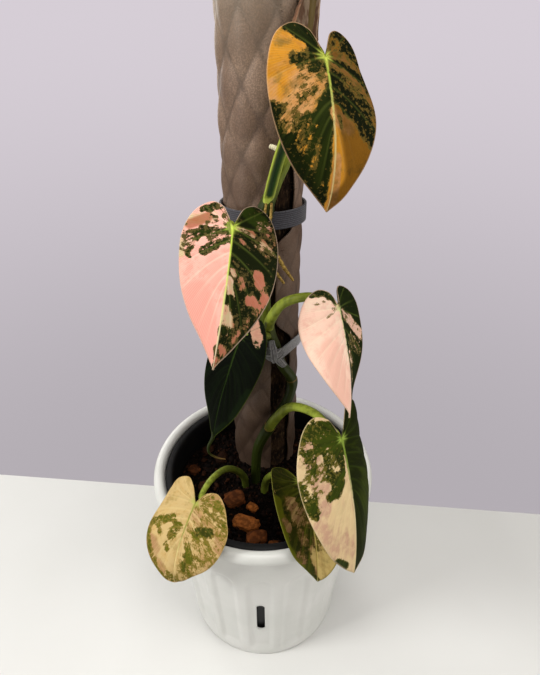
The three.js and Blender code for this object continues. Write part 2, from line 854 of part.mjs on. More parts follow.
function strap({ z, width, tilt, bump }) {
  const count = STRAP_SEGMENTS;
  const points = [];
  const faces = [];
  const corners = [
    [0, -0.5],
    [STRAP_THICKNESS, -0.5],
    [STRAP_THICKNESS, 0.5],
    [0, 0.5],
  ];
  for (let i = 0; i < count; i++) {
    const angle = (360 * i) / count;
    const turn = radians(angle);
    for (const [grow, height] of corners) {
      const radius = strapRadius(angle, STRAP_BORE_RADIUS + grow, bump, grow);
      const rise = Math.tan(radians(tilt)) * radius * Math.cos(turn);
      points.push(
        new THREE.Vector3(
          POLE_AXIS[0] + radius * Math.sin(turn),
          POLE_AXIS[1] - radius * Math.cos(turn),
          z + rise + height * width,
        ),
      );
    }
  }
  for (let i = 0; i < count; i++) {
    const here = i * 4;
    const next = ((i + 1) % count) * 4;
    for (let k = 0; k < 4; k++) {
      const l = (k + 1) % 4;
      faces.push([here + k, next + k, next + l, here + l]);
    }
  }
  return fromFaces(points, faces);
}

// Lower strap with its knot over the stem and the two short ends of the strap.
function strapWithKnot() {
  const knot = new THREE.IcosahedronGeometry(1, 1);
  knot.scale(...KNOT.size);
  knot.rotateY(radians(KNOT.turn));
  knot.translate(...KNOT.at);
  const flat = (share, angle) => 1 / Math.hypot(2.4 * Math.cos(angle), Math.sin(angle));
  let body = asSolid(strap(LOWER_STRAP)).add(asSolid(knot));
  for (const end of STRAP_ENDS) body = body.add(asSolid(rod(end, 8, flat)));
  const room = stemWithRoom();
  return asGeometry(largestBody(body.subtract(room)));
}

// A leaf stalk: it starts in the stem, is cut clear of it, and ends under its blade.
function stalk(index) {
  const { points, radii, groove } = STALKS[index];
  const { point, normal, ahead } = bladeSurface(LEAVES[index])(0, 0);
  const side = new THREE.Vector3().crossVectors(normal, ahead);
  const under = (forward, down) =>
    point.clone().addScaledVector(ahead, forward).addScaledVector(normal, -down).toArray();
  const route = {
    points: [...points, under(-1.5, BLADE_THICKNESS + 2.2), under(3, BLADE_THICKNESS + 1)],
    radii: [...radii, 1.9, 0.9],
  };
  const channel = (share, angle) => {
    const depth = groove * (1 - smooth(share, 0.25, 0.7));
    return 1 - depth * Math.exp(-((Math.min(angle, 2 * Math.PI - angle) / 0.7) ** 2));
  };
  let body = asSolid(rod(route, groove ? 12 : 8, channel));
  body = body.subtract(stemWithRoom());
  for (const sideways of [-GAP, 0, GAP]) {
    const room = blade(LEAVES[index], 5, -BLADE_THICKNESS - GAP);
    body = body.subtract(asSolid(room.translate(...side.clone().multiplyScalar(sideways * 1.4))));
  }
  return asGeometry(largestBody(body));
}

// Dry bract: a pointed papery scoop, open towards the front.
function bract() {
  const scoop = (share, angle) => {
    const open = Math.exp(-((Math.min(angle, 2 * Math.PI - angle) / 1) ** 2));
    return (1 - 0.82 * open) * (0.55 + 0.45 * Math.abs(Math.sin(angle)));
  };
  const body = asSolid(rod(BRACT, 12, scoop));
  const room = asSolid(rod(NEW_LEAF, 8, undefined, GAP));
  const stem = stemWithRoom();
  return asGeometry(largestBody(body.subtract(room).subtract(stem)));
}

function cutClearOfStem(geometry) {
  const stem = stemWithRoom();
  return asGeometry(largestBody(asSolid(geometry).subtract(stem)));
}

// Scene graph
const plant = new THREE.Group();

function place(group, name, geometry, color, roughness) {
  const material = new THREE.MeshStandardMaterial({ color, roughness, metalness: 0 });
  const mesh = new THREE.Mesh(geometry, material);
  mesh.name = name;
  group.add(mesh);
}

const holder = new THREE.Group();
place(holder, "pot_outer", potOuter(), 0xe4e4df, 0.35);
place(holder, "pot_liner", potLiner(), 0x141416, 0.45);
place(holder, "soil", soil(), 0x1a100a, 0.95);
place(holder, "pole_moss", poleMoss(), 0x1c1410, 1);
place(holder, "pole_sheet", poleSheet(), 0x7a6653, 0.6);
place(holder, "band_upper", strap(UPPER_STRAP), 0x3a3840, 0.8);
place(holder, "band_lower", strapWithKnot(), 0x55535a, 0.8);
plant.add(holder);

const growth = new THREE.Group();
place(growth, "stem_main", rod(STEM, 10), 0x4d5a1c, 0.5);
ROOTS.forEach((root, i) => {
  place(growth, `aerial_root_${i + 1}`, cutClearOfStem(rod(root, 6)), 0xa9793e, 0.7);
});
place(growth, "bract", bract(), 0x7b5a41, 0.8);
place(growth, "new_leaf", rod(NEW_LEAF, 8), 0x8a5a3c, 0.5);
LEAVES.forEach((leaf, i) => {
  place(growth, `stalk_${i + 1}`, stalk(i), 0x7c8a25, 0.45);
  place(growth, `leaf_${i + 1}`, blade(leaf, 0, -BLADE_THICKNESS), leaf.color, 0.5);
});
plant.add(growth);

export default plant;
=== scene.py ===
# %% [markdown]
# # A pink philodendron on its pole, in a fluted white pot
#
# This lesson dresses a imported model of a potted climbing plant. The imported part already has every
# piece at its real size, so each step here takes one piece, looks at what the real one is made of,
# and builds a finer mesh and a material for it, in the same place.

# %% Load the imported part
import math
import random

import bmesh
import bpy
import numpy as np
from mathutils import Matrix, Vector, noise


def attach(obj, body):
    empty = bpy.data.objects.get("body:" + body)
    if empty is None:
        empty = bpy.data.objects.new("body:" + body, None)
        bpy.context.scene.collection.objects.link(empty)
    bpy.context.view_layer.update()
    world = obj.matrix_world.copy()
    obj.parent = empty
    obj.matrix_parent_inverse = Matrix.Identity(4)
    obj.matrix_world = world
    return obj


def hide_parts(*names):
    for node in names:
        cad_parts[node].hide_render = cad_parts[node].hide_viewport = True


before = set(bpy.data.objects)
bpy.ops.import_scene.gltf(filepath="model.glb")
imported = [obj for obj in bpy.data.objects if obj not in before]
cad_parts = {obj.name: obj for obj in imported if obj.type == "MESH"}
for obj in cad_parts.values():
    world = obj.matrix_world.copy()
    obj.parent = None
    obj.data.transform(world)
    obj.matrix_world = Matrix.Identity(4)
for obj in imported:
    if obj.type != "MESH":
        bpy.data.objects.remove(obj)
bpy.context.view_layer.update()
print("nodes:", len(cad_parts))

# %% [markdown]
# ## The camera
#
# A phone held above and in front of the plant took the picture. The ellipse of the pot's rim gives
# the pitch of the camera, and the rim's width gives its distance. A phone's main lens is wide, so
# near leaves look larger than far ones, and the lens has to match for the leaves to line up.

# %% Camera
CAMERA_PLACE = (0.0055, -0.2847, 0.4792)
CAMERA_TILT = math.radians(56.02)
CAMERA_LENS = 27.73

camera_data = bpy.data.cameras.new("camera")
camera_data.lens = CAMERA_LENS
camera_data.sensor_width = 36
camera = bpy.data.objects.new("camera", camera_data)
camera.location = CAMERA_PLACE
camera.rotation_euler = (CAMERA_TILT, 0, 0)
bpy.context.scene.collection.objects.link(camera)
bpy.context.scene.camera = camera
bpy.context.scene.view_settings.view_transform = "Standard"
print("camera:", CAMERA_PLACE, "tilt", math.degrees(CAMERA_TILT))

# %% [markdown]
# ## Nodes and meshes
#
# Colours are written as sRGB hex values, because that is what a colour picker shows, and shaders
# want linear light, so one function converts them. A shader is a chain of small nodes. Naming each
# node in full would bury the recipe, so a table gives every kind a plain word, and one function
# adds the node that a word stands for, with its settings and links.

# %% Colours and nodes
MM = 0.001

# What each word adds: the node, its settings, what the given values fill, and the output used.
NODE_WORDS = {
    "blend": ("Mix", {"data_type": "RGBA"}, (0, 6, 7), 2),
    "ease": ("MapRange", {"interpolation_type": "SMOOTHSTEP"}, (0, 1, 2, 3, 4), 0),
    "times": ("Math", {"operation": "MULTIPLY"}, (0, 1), 0),
    "plus": ("Math", {"operation": "ADD"}, (0, 1), 0),
    "minus": ("Math", {"operation": "SUBTRACT"}, (0, 1), 0),
    "larger": ("Math", {"operation": "MAXIMUM"}, (0, 1), 0),
    "sine": ("Math", {"operation": "SINE"}, (0,), 0),
    "number": ("Attribute", {}, ("attribute_name",), "Fac"),
    "vector": ("Attribute", {}, ("attribute_name",), "Vector"),
    "place": ("TexCoord", {}, (), "Object"),
    "direction": ("TexCoord", {}, (), "Generated"),
    "y of": ("SeparateXYZ", {}, (0,), "Y"),
    "z of": ("SeparateXYZ", {}, (0,), "Z"),
    "mapping": ("Mapping", {}, ("Vector", "Scale", "Location"), 0),
    "noise": ("TexNoise", {}, ("Vector", "Scale", "Detail", "Roughness"), "Fac"),
    "bump": ("Bump", {}, ("Height", "Distance", "Strength"), 0),
    "background": ("Background", {}, ("Color", "Strength"), 0),
    "seen": ("LightPath", {}, (), "Is Camera Ray"),
    "either": ("MixShader", {}, (0, 1, 2), 0),
}


def linear(hex_colour):
    """An sRGB hex colour such as "#d5d5cc" as linear red, green, blue and alpha."""
    channels = [int(hex_colour[i : i + 2], 16) / 255 for i in (1, 3, 5)]
    return [c / 12.92 if c <= 0.04045 else ((c + 0.055) / 1.055) ** 2.4 for c in channels] + [1]


def add(tree, word, *values):
    """Adds the node of a word. Each value is a number, a hex colour, a name or another output."""
    kind, settings, filled, output = NODE_WORDS[word]
    node = tree.nodes.new("ShaderNode" + kind)
    for key, value in settings.items():
        setattr(node, key, value)
    for key, value in zip(filled, values):
        if key == "attribute_name":
            node.attribute_name = value
        elif isinstance(value, bpy.types.NodeSocket):
            tree.links.new(value, node.inputs[key])
        else:
            node.inputs[key].default_value = linear(value) if isinstance(value, str) else value
    return node.outputs[output]


print("words for nodes:", ", ".join(NODE_WORDS))

# %% [markdown]
# Every material starts from Blender's Principled shader, and most of their patterns are noise of a
# size that can be measured on the real thing. So one helper starts a material, one makes noise of
# a size in millimetres, and one hands a colour and a relief to the shader.

# %% Materials
def start_material(name, **values):
    """A new material and its tree. values are constants of its shader, by socket name."""
    material = bpy.data.materials.new(name)
    print("material:", name)
    material.use_nodes = True
    shader = material.node_tree.nodes["Principled BSDF"]
    for key, value in values.items():
        shader.inputs[key.replace("_", " ")].default_value = value
    return material, material.node_tree, shader


def grain(tree, size_mm, detail=4, stretch=(1, 1, 1), seed=0):
    """Noise whose blotches are about size_mm across, in the frame's own millimetres."""
    scale = [s / (size_mm * MM) for s in stretch]
    moved = add(tree, "mapping", add(tree, "place"), scale, [seed] * 3)
    return add(tree, "noise", moved, 1, detail)


def patches(tree, size_mm, low, high, **settings):
    """The same noise with harder edges: 0 below low and 1 above high."""
    return add(tree, "ease", grain(tree, size_mm, **settings), low, high)


def dress(tree, shader, colour, relief, depth_mm, strength=1):
    """Gives the shader its colour and a relief of that depth."""
    tree.links.new(colour, shader.inputs["Base Color"])
    tree.links.new(add(tree, "bump", relief, depth_mm * MM, strength), shader.inputs["Normal"])


# %% [markdown]
# Meshes are built from arrays of points, because a formula gives a leaf or a fluted wall exactly,
# and a modifier only nearly. One function turns points and faces into a piece that rides on the
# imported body. Points that lie closer together than WELD, in metres, become one.

# %% Pieces
WELD = 2e-6


def new_piece(name, points, faces, material, slot, nodes=(), numbers=None):
    """Makes a smooth closed mesh from points in millimetres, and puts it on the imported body."""
    mesh = bpy.data.meshes.new(name)
    mesh.from_pydata((np.asarray(points) * MM).tolist(), [], faces)
    for key, values in (numbers or {}).items():
        values = np.asarray(values, dtype=float)
        kind, field = ("FLOAT", "value") if values.ndim == 1 else ("FLOAT_VECTOR", "vector")
        mesh.attributes.new(key, kind, "POINT").data.foreach_set(field, values.ravel())
    mesh.polygons.foreach_set("use_smooth", [True] * len(mesh.polygons))
    shape = bmesh.new()
    shape.from_mesh(mesh)
    bmesh.ops.remove_doubles(shape, verts=shape.verts, dist=WELD)
    bmesh.ops.dissolve_degenerate(shape, edges=shape.edges, dist=WELD)
    bmesh.ops.recalc_face_normals(shape, faces=shape.faces)
    shape.to_mesh(mesh)
    shape.free()
    mesh.materials.append(material)
    piece = bpy.data.objects.new(name, mesh)
    bpy.context.scene.collection.objects.link(piece)
    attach(piece, "root")
    if nodes:
        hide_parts(*nodes)
    print(f"{name}: {len(mesh.polygons)} faces")
    return piece


# %% [markdown]
# ## Table, wall light and studio light
#
# The plant stands at the back edge of a white table, before a pale lilac wall. The table is a plain
# slab that ends just behind the pot, and the wall is only the colour of the world, so that the
# plant can be looked at from behind too. Four large soft lights make the even light of a bright
# room: a window at the viewer's left, the ceiling, the rest of the room at the right, and a little
# light that comes back from behind.

# %% Table
TABLE_BACK = 0.107
TABLE_SKEW = math.radians(-5.2)
TABLE_HALF_WIDTH = 1.1
TABLE_DEPTH = 1.5
TABLE_THICKNESS = 0.03

table_white, tree, shader = start_material("Table, white melamine", Roughness=0.55)
tone = add(tree, "blend", grain(tree, 90), "#dcdcda", "#d6d6d3")
tree.links.new(tone, shader.inputs["Base Color"])


def block(first, second, name):
    """A closed block between two equal outlines, each a list of points in metres."""
    shape = bmesh.new()
    first = [shape.verts.new(point) for point in first]
    second = [shape.verts.new(point) for point in second]
    shape.faces.new(first)
    shape.faces.new(second[::-1])
    for i in range(len(first)):
        shape.faces.new((first[i - 1], first[i], second[i], second[i - 1]))
    bmesh.ops.recalc_face_normals(shape, faces=shape.faces)
    mesh = bpy.data.meshes.new(name)
    shape.to_mesh(mesh)
    shape.free()
    made = bpy.data.objects.new(name, mesh)
    bpy.context.scene.collection.objects.link(made)
    return made


corners = []
for side, at_back in ((-1, True), (1, True), (1, False), (-1, False)):
    back = TABLE_BACK + math.tan(TABLE_SKEW) * side * TABLE_HALF_WIDTH
    corners.append((side * TABLE_HALF_WIDTH, back if at_back else -TABLE_DEPTH))
table = block([(x, y, 0) for x, y in corners], [(x, y, -TABLE_THICKNESS) for x, y in corners], "table")
table.data.materials.append(table_white)
print("table:", corners)

# %% Wall and lights
ROOM_LIGHT = 0.3
LIGHT_AIM = Vector((0, 0, 0.2))

world = bpy.data.worlds.new("Room")
bpy.context.scene.world = world
world.use_nodes = True
tree = world.node_tree
wall = tree.nodes["Background"]
# The wall is painted lighter at the top and darker below: painted shade for the room's light falling off
# down it.
height = add(tree, "z of", add(tree, "direction"))
wall_tone = add(tree, "blend", add(tree, "ease", height, -0.75, 0.0), "#b3adb3", "#d6ced6")
tree.links.new(wall_tone, wall.inputs["Color"])
room_light = add(tree, "background", "#cfc8c4", ROOM_LIGHT)
mixed = add(tree, "either", add(tree, "seen"), room_light, wall.outputs[0])
tree.links.new(mixed, tree.nodes["World Output"].inputs["Surface"])

# Each light: where it stands, how wide it is in metres, its power in watts and its colour.
LIGHTS = {
    "window": ((-1.15, -0.45, 1.1), 0.45, 16, "#fffefb"),
    "ceiling": ((0.1, -0.4, 1.7), 0.8, 11, "#fffdfa"),
    "room": ((1.05, -0.6, 1.0), 0.8, 9, "#fffcf8"),
    "back": ((-0.7, 1.1, 0.6), 0.7, 6, "#fffdfa"),
}
for name, (place, width, power, colour) in LIGHTS.items():
    lamp = bpy.data.lights.new(name, "AREA")
    lamp.size = width
    lamp.energy = power
    lamp.color = linear(colour)[:3]
    lamp_object = bpy.data.objects.new(name, lamp)
    lamp_object.location = place
    aim = LIGHT_AIM - Vector(place)
    lamp_object.rotation_euler = aim.to_track_quat("-Z", "Y").to_euler()
    bpy.context.scene.collection.objects.link(lamp_object)
    print(f"{name} light: {power} W")

# %% [markdown]
# ## Outer pot
#
# The outer pot is injection-moulded polypropylene, white, with a soft gloss. Its wall has sixteen
# hollow panels with arched tops, so it could be carved or drawn with a pattern in a shader. The
# panels catch a shadow under each arch, and a shadow needs real depth, so the radius of each point
# of the wall comes from one formula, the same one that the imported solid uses, only finer.

# %% White plastic
pot_white, tree, shader = start_material(
    "Polypropylene, moulded white", Roughness=0.33, IOR=1.49, Specular_IOR_Level=0.5
)
pot_tone = add(tree, "blend", patches(tree, 40, 0.35, 0.65), "#dcdcd8", "#d4d5d0")
# Moulded skin has a faint orange peel of about 1.5 mm, drawn at 2 mm to show.
dress(tree, shader, pot_tone, grain(tree, 2.0, detail=2), 0.05)

# %% [markdown]
# Pot, liner, soil and moss are all turned round an upright axis, so a body is a stack of rings, and
# its faces are those of a grid that closes on itself. A ring may have its own radius at each angle,
# which is how the panels come in. The rim follows a smooth curve through a few points.

# %% Turned bodies
def smoothstep(value, low, high):
    """0 up to low and 1 from high on, eased between. high may be the smaller one."""
    share = np.clip((np.asarray(value, dtype=float) - low) / (high - low), 0, 1)
    return share * share * (3 - 2 * share)


def grid_faces(rows, columns, start=0, closed=False):
    """Faces of a grid of points stored row by row, joined round where closed is set."""
    faces = []
    last = columns if closed else columns - 1
    for row in range(rows - 1):
        for column in range(last):
            a = start + row * columns + column
            b = start + row * columns + (column + 1) % columns
            faces.append((a, b, b + columns, a + columns))
    return faces


def revolve(rings, angles):
    """A body round the Z axis from rings of (radius, z), each a number or one for each angle.
    Angle 0 looks at the viewer, and the first and last rings lie on the axis."""
    turn = np.radians(angles)
    points = []
    for radius, z in rings:
        radius = np.broadcast_to(radius, turn.shape)
        z = np.broadcast_to(z, turn.shape)
        points.append(np.stack([radius * np.sin(turn), -radius * np.cos(turn), z], axis=1))
    return np.concatenate(points), grid_faces(len(rings), len(turn), closed=True)


def smooth_line(points, per_span):
    """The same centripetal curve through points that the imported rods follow."""
    points = np.array(points, dtype=float)
    padded = np.vstack([2 * points[0] - points[1], points, 2 * points[-1] - points[-2]])
    line = []
    for p0, p1, p2, p3 in zip(padded, padded[1:], padded[2:], padded[3:]):
        d0, d1, d2 = [math.sqrt(np.linalg.norm(b - a)) for a, b in ((p0, p1), (p1, p2), (p2, p3))]
        leave = ((p1 - p0) / d0 - (p2 - p0) / (d0 + d1) + (p2 - p1) / d1) * d1
        arrive = ((p2 - p1) / d1 - (p3 - p1) / (d1 + d2) + (p3 - p2) / d2) * d1
        for t in np.arange(per_span) / per_span:
            line.append(
                p1 * (2 * t**3 - 3 * t**2 + 1)
                + leave * (t**3 - 2 * t**2 + t)
                + p2 * (3 * t**2 - 2 * t**3)
                + arrive * (t**3 - t**2)
            )
    line.append(points[-1])
    return np.array(line)


# %% Outer pot
POT_HEIGHT = 170
RIM_RADIUS = 85
NECK_RADIUS = 76.5
BASE_RADIUS = 65
NECK_Z = 159
POT_WALL = 3.4
POT_FLOOR = 5
POT_FOOT = [(0, 0), (62, 0), (63.7, 0.5), (64.8, 1.7)]
FLUTES = 16
FLUTE_DEPTH = 1.9
FLUTE_HALF_ANGLE = 9.4
FLUTE_FOOT_Z = 9
FLUTE_SPRING_Z = 112
FLUTE_CROWN_Z = 127
FLUTE_FOOT_RISE = 8
FLUTE_EDGE = 0.45
FRONT_FLUTE_TURN = -1.5
SLOT_HALF_WIDTH = 3.25
SLOT_Z = (44, 86)
LEDGE_Z = 162.9
RIM_PROFILE = [(76.6, 159), (80.5, 159.6), (84, 161.6), (RIM_RADIUS, 165), (84, 168.6), (81.5, POT_HEIGHT)]
RIM_INSIDE = [(78.6, 169.6), (77, 167.6), (76.6, LEDGE_Z)]


def flute_radius(angle, z):
    """Radius of the pot's wall: a plain cone less the hollow of the nearest panel."""
    plain = BASE_RADIUS + (NECK_RADIUS - BASE_RADIUS) * z / NECK_Z
    pitch = 360 / FLUTES
    off = angle - FRONT_FLUTE_TURN
    across = np.abs(off - pitch * np.round(off / pitch)) / FLUTE_HALF_ANGLE
    rise = max(0, (z - FLUTE_SPRING_Z) / (FLUTE_CROWN_Z - FLUTE_SPRING_Z))
    inside = 1 - np.hypot(across, rise)
    foot = smoothstep(z, FLUTE_FOOT_Z, FLUTE_FOOT_Z + FLUTE_FOOT_RISE)
    return plain - FLUTE_DEPTH * smoothstep(inside, 0, FLUTE_EDGE) * foot


pot_angles = np.arange(0, 360, 1.25)
wall_heights = [*np.arange(4, 108, 4), *np.arange(108, 130, 1.1), *np.arange(131, 158, 4), 158]
rim = smooth_line([(r, z, 0) for r, z in RIM_PROFILE + RIM_INSIDE], 5)[:, :2]
pot_rings = [*POT_FOOT]
pot_rings += [(flute_radius(pot_angles, z), z) for z in wall_heights]
pot_rings += [(r, z) for r, z in rim]
pot_rings += [(NECK_RADIUS - POT_WALL, LEDGE_Z), (BASE_RADIUS - POT_WALL, POT_FLOOR), (0, POT_FLOOR)]
points, faces = revolve(pot_rings, pot_angles)
pot_outer = new_piece("pot_outer_fluted", points, faces, pot_white, "pot", ["pot_outer"])

# %% [markdown]
# A long slot in the front panel shows the dark liner. It is cut with a rounded block, because a hole
# with clean edges is what a mould leaves, and a dark patch of paint would look flat from the side.

# %% Slot in the front panel
SLOT_ARC_STEPS = 12
SLOT_CUT_FROM_Y = -0.09
SLOT_CUT_TO_Y = -0.055

slot_outline = []
for centre_z, start in ((SLOT_Z[1] - SLOT_HALF_WIDTH, 0), (SLOT_Z[0] + SLOT_HALF_WIDTH, math.pi)):
    for step in range(SLOT_ARC_STEPS + 1):
        angle = start + math.pi * step / SLOT_ARC_STEPS
        x = SLOT_HALF_WIDTH * math.cos(angle)
        slot_outline.append((x * MM, (centre_z + SLOT_HALF_WIDTH * math.sin(angle)) * MM))
cutter = block(
    [(x, SLOT_CUT_FROM_Y, z) for x, z in slot_outline],
    [(x, SLOT_CUT_TO_Y, z) for x, z in slot_outline],
    "slot_cutter",
)
cutter.rotation_euler = (0, 0, math.radians(FRONT_FLUTE_TURN))

cut = pot_outer.modifiers.new("slot", "BOOLEAN")
cut.operation = "DIFFERENCE"
cut.object = cutter
cut.solver = "EXACT"
bpy.context.view_layer.update()
cut_pot = pot_outer.evaluated_get(bpy.context.evaluated_depsgraph_get())
cut_mesh = bpy.data.meshes.new_from_object(cut_pot)
pot_outer.modifiers.clear()
pot_outer.data = cut_mesh
bpy.data.objects.remove(cutter)
print("pot after the slot:", len(pot_outer.data.polygons), "faces")

# %% [markdown]
# ## Liner
#
# Inside hangs a thin black nursery pot, blown from recycled polypropylene, which leaves it slightly
# greasy and never quite black. Only its lip and the wall above the soil show.

# %% Black plastic
liner_black, tree, shader = start_material(
    "Polypropylene, recycled black", Roughness=0.6, Specular_IOR_Level=0.25
)
liner_tone = add(tree, "blend", patches(tree, 14, 0.45, 0.8), "#08080a", "#15130f")
dress(tree, shader, liner_tone, grain(tree, 1.5, detail=3), 0.06)

# %% Shape of the liner
LINER_FLOOR_Z = 22
LINER_FOOT_RADIUS = 60.6
LINER_NECK_RADIUS = 72.2
LINER_WALL = 2
LINER_LIP_RADIUS = 76
LINER_LIP_Z = 163.2
LINER_TOP_Z = 167
LINER_CHAMFER = 3


def liner_radius(z):
    share = (z - LINER_FLOOR_Z) / (LINER_LIP_Z - LINER_FLOOR_Z)
    return LINER_FOOT_RADIUS + (LINER_NECK_RADIUS - LINER_FOOT_RADIUS) * share


inner_neck = LINER_NECK_RADIUS - LINER_WALL
lip = [
    (LINER_NECK_RADIUS, LINER_LIP_Z, 0),
    (LINER_LIP_RADIUS - 0.4, LINER_LIP_Z, 0),
    (LINER_LIP_RADIUS, LINER_LIP_Z + 1, 0),
    (LINER_LIP_RADIUS, LINER_TOP_Z - 1, 0),
    (LINER_LIP_RADIUS - 1, LINER_TOP_Z, 0),
    (inner_neck + 1, LINER_TOP_Z, 0),
    (inner_neck, LINER_TOP_Z - 1.2, 0),
]
chamfer_z = LINER_FLOOR_Z + LINER_CHAMFER
liner_rings = [(0, LINER_FLOOR_Z), (LINER_FOOT_RADIUS - LINER_CHAMFER, LINER_FLOOR_Z)]
liner_rings += [(liner_radius(chamfer_z), chamfer_z)]
liner_rings += [(liner_radius(z), z) for z in range(40, 160, 20)]
liner_rings += [(r, z) for r, z in smooth_line(lip, 4)[:, :2]]
liner_rings += [(liner_radius(z) - LINER_WALL, z) for z in (160, 150, 140, 60, 27)]
inner_floor_z = LINER_FLOOR_Z + LINER_WALL
liner_rings += [(LINER_FOOT_RADIUS - LINER_CHAMFER - LINER_WALL, inner_floor_z), (0, inner_floor_z)]
points, faces = revolve(liner_rings, np.arange(0, 360, 3))
new_piece("liner_black", points, faces, liner_black, "liner", ["pot_liner"])

# %% [markdown]
# ## Soil, bark and crumbs
#
# An aroid mix is coarse: orchid bark, clay and coir, nearly black while it is moist, with orange and
# tan faces where bark has dried. Its near-black is also painted shade, for the shade inside the pot.
# A shader alone looks like paint, so the bed is a rough surface, the large chips are carved from
# balls squared off by a power, and thousands of small crumbs are strewn over it, each turned at
# random with a fixed seed.

# %% Soil materials
# The mix is painted near-black: moist soil, and painted shade inside the pot.
soil_brown, tree, shader = start_material("Potting mix, moist", Roughness=0.9, Specular_IOR_Level=0.06)
soil_tone = add(tree, "blend", patches(tree, 3.5, 0.4, 0.65, detail=6), "#050302", "#120a06")
dress(tree, shader, soil_tone, grain(tree, 1.6, detail=6), 0.9)

bark_brown, tree, shader = start_material(
    "Pine bark, dry and moist", Roughness=0.85, Specular_IOR_Level=0.08
)
tint = add(tree, "number", "tint")
dark = add(tree, "blend", add(tree, "ease", tint, 0.0, 0.45), "#080403", "#2c170b")
warm = add(tree, "blend", add(tree, "ease", tint, 0.7, 1.0), "#74401f", "#b0672f")
body = add(tree, "blend", add(tree, "ease", tint, 0.4, 0.75), dark, warm)
# Bark splits in layers under a millimetre thick, drawn here about 1.6 mm apart.
layers = grain(tree, 1.6, detail=5, stretch=(0.4, 0.4, 1.6))
crack = add(tree, "blend", 0.55, body, "#0d0704")
bark_tone = add(tree, "blend", add(tree, "ease", layers, 0.42, 0.62), crack, body)
dress(tree, shader, bark_tone, layers, 0.5)

# %% Soil bed
SOIL_TOP_Z = 147
SOIL_RISE = 1.6
SOIL_EDGE_RADIUS = 68.1
SOIL_EDGE_Z = 143.8
SOIL_UNDERSIDE = [(0, 24.3), (57, 24.3), (58.8, 28)]
SOIL_RINGS = 58
SOIL_ROUGHNESS = 1.1


def fractal(x, y, z, octaves=4):
    """Rough noise from -1 to 1, finer at each octave."""
    return noise.fractal(Vector((x, y, z)), 1, 2, octaves)


def soil_height(x, y):
    mounds = np.sin(x / 9 + 1) * np.cos(y / 11) + 0.6 * np.sin((x + y) / 6)
    return SOIL_TOP_Z + SOIL_RISE * mounds


soil_angles = np.arange(0, 360, 2.5)
soil_turns = np.radians(soil_angles)
soil_rings = [*SOIL_UNDERSIDE, (SOIL_EDGE_RADIUS, SOIL_EDGE_Z)]
for radius in np.linspace(SOIL_EDGE_RADIUS - 0.6, 0, SOIL_RINGS):
    x = radius * np.sin(soil_turns)
    y = -radius * np.cos(soil_turns)
    rough = np.array([fractal(a / 4, b / 4, 3) for a, b in zip(x, y)])
    soil_rings.append((radius, soil_height(x, y) + SOIL_ROUGHNESS * rough))
points, faces = revolve(soil_rings, soil_angles)
new_piece("soil_bed", points, faces, soil_brown, "soil", ["soil"])

# %% Bark chips
# Centre, half sizes, turn in degrees, and tint: 0 is wet and black, 1 is dry and orange.
CHIPS = [
    ((-21.7, -19.4), (9.5, 8, 4.5), 25, 0.62),
    ((-12.3, -41.9), (12, 7, 5), -20, 0.9),
    ((-4, -54.2), (9, 6.5, 4), 15, 0.74),
    ((-8, -27), (4, 5, 3), 60, 1.0),
    ((-48, 34), (6.5, 5, 3.5), 40, 0.4),
    ((-57, 10), (6, 5, 3.5), -35, 0.55),
    ((-47, -8), (5, 6, 3.5), 10, 0.45),
    ((-35, 24), (7, 5, 4), 70, 0.35),
    ((26, -12), (7, 5, 4), -50, 0.5),
    ((44, 12), (8, 6, 4.5), 30, 0.7),
    ((35, -33), (6, 8, 4), 80, 0.62),
    ((8, -60), (5, 4, 3), 0, 0.8),
    ((-30, -48), (6, 5, 3.5), -70, 0.7),
    ((52, 36), (6, 5, 3.5), 15, 0.5),
]
CHIP_SINK = 0.35
CHIP_SQUARENESS = 0.62
CHIP_FULLNESS = 0.86
CHIP_FLAKING = 0.16
FLAKES_ACROSS = 1.7
CHIP_LEAN = 1 / 5


def ball(subdivisions):
    """Points and faces of a ball of radius 1."""
    shape = bmesh.new()
    bmesh.ops.create_icosphere(shape, subdivisions=subdivisions, radius=1)
    shape.verts.ensure_lookup_table()
    points = np.array([v.co[:] for v in shape.verts])
    faces = [tuple(v.index for v in face.verts) for face in shape.faces]
    shape.free()
    return points, faces


def turned(points, about_x, about_z):
    """Points turned about X and then about Z, in radians."""
    cx, sx, cz, sz = math.cos(about_x), math.sin(about_x), math.cos(about_z), math.sin(about_z)
    x, y, z = points.T
    y, z = y * cx - z * sx, y * sx + z * cx
    return np.stack([x * cz - y * sz, x * sz + y * cz, z], axis=1)


def gather(parts):
    """Joins several (points, faces) into the points and faces of one mesh."""
    all_points, all_faces, count = [], [], 0
    for points, faces in parts:
        all_faces += [tuple(i + count for i in face) for face in faces]
        all_points.append(points)
        count += len(points)
    return np.concatenate(all_points), all_faces


round_points, round_faces = ball(4)
squared = np.sign(round_points) * np.abs(round_points) ** CHIP_SQUARENESS
chips, tints = [], []
for k, ((x, y), size, turn, chip_tint) in enumerate(CHIPS):
    flakes = np.array([fractal(a + k * 9, b, c) for a, b, c in round_points * FLAKES_ACROSS])
    shaped = squared * CHIP_FULLNESS * (1 + CHIP_FLAKING * flakes)[:, None] * np.array(size)
    shaped = turned(shaped, math.radians(turn * CHIP_LEAN), math.radians(turn))
    chips.append((shaped + [x, y, soil_height(x, y) + size[2] * CHIP_SINK], round_faces))
    tints += [chip_tint] * len(round_points)
new_piece("bark_chips", *gather(chips), bark_brown, "soil", numbers={"tint": tints})

# %% Crumbs
CRUMB_COUNT = 3600
SMALL_CRUMB_SHARE = 0.86
SMALL_CRUMB_SIZES = (0.5, 1.3)
LARGE_CRUMB_SIZES = (1.4, 2.9)
# Limits of how far a crumb is stretched each way, of its dents, and of how far it leans.
CRUMB_STRETCHES = ((0.6, 1.5), (0.5, 1), (0.3, 0.8))
CRUMB_DENTS = (0.75, 1.2)
CRUMB_LEAN = 0.7
CRUMB_EDGE_GAP = 1.5
# Most crumbs take the dark end of the bark colours: moist bark, and painted shade inside the pot.
CRUMB_TINTS = [0.0, 0.05, 0.1, 0.15, 0.25, 0.45]

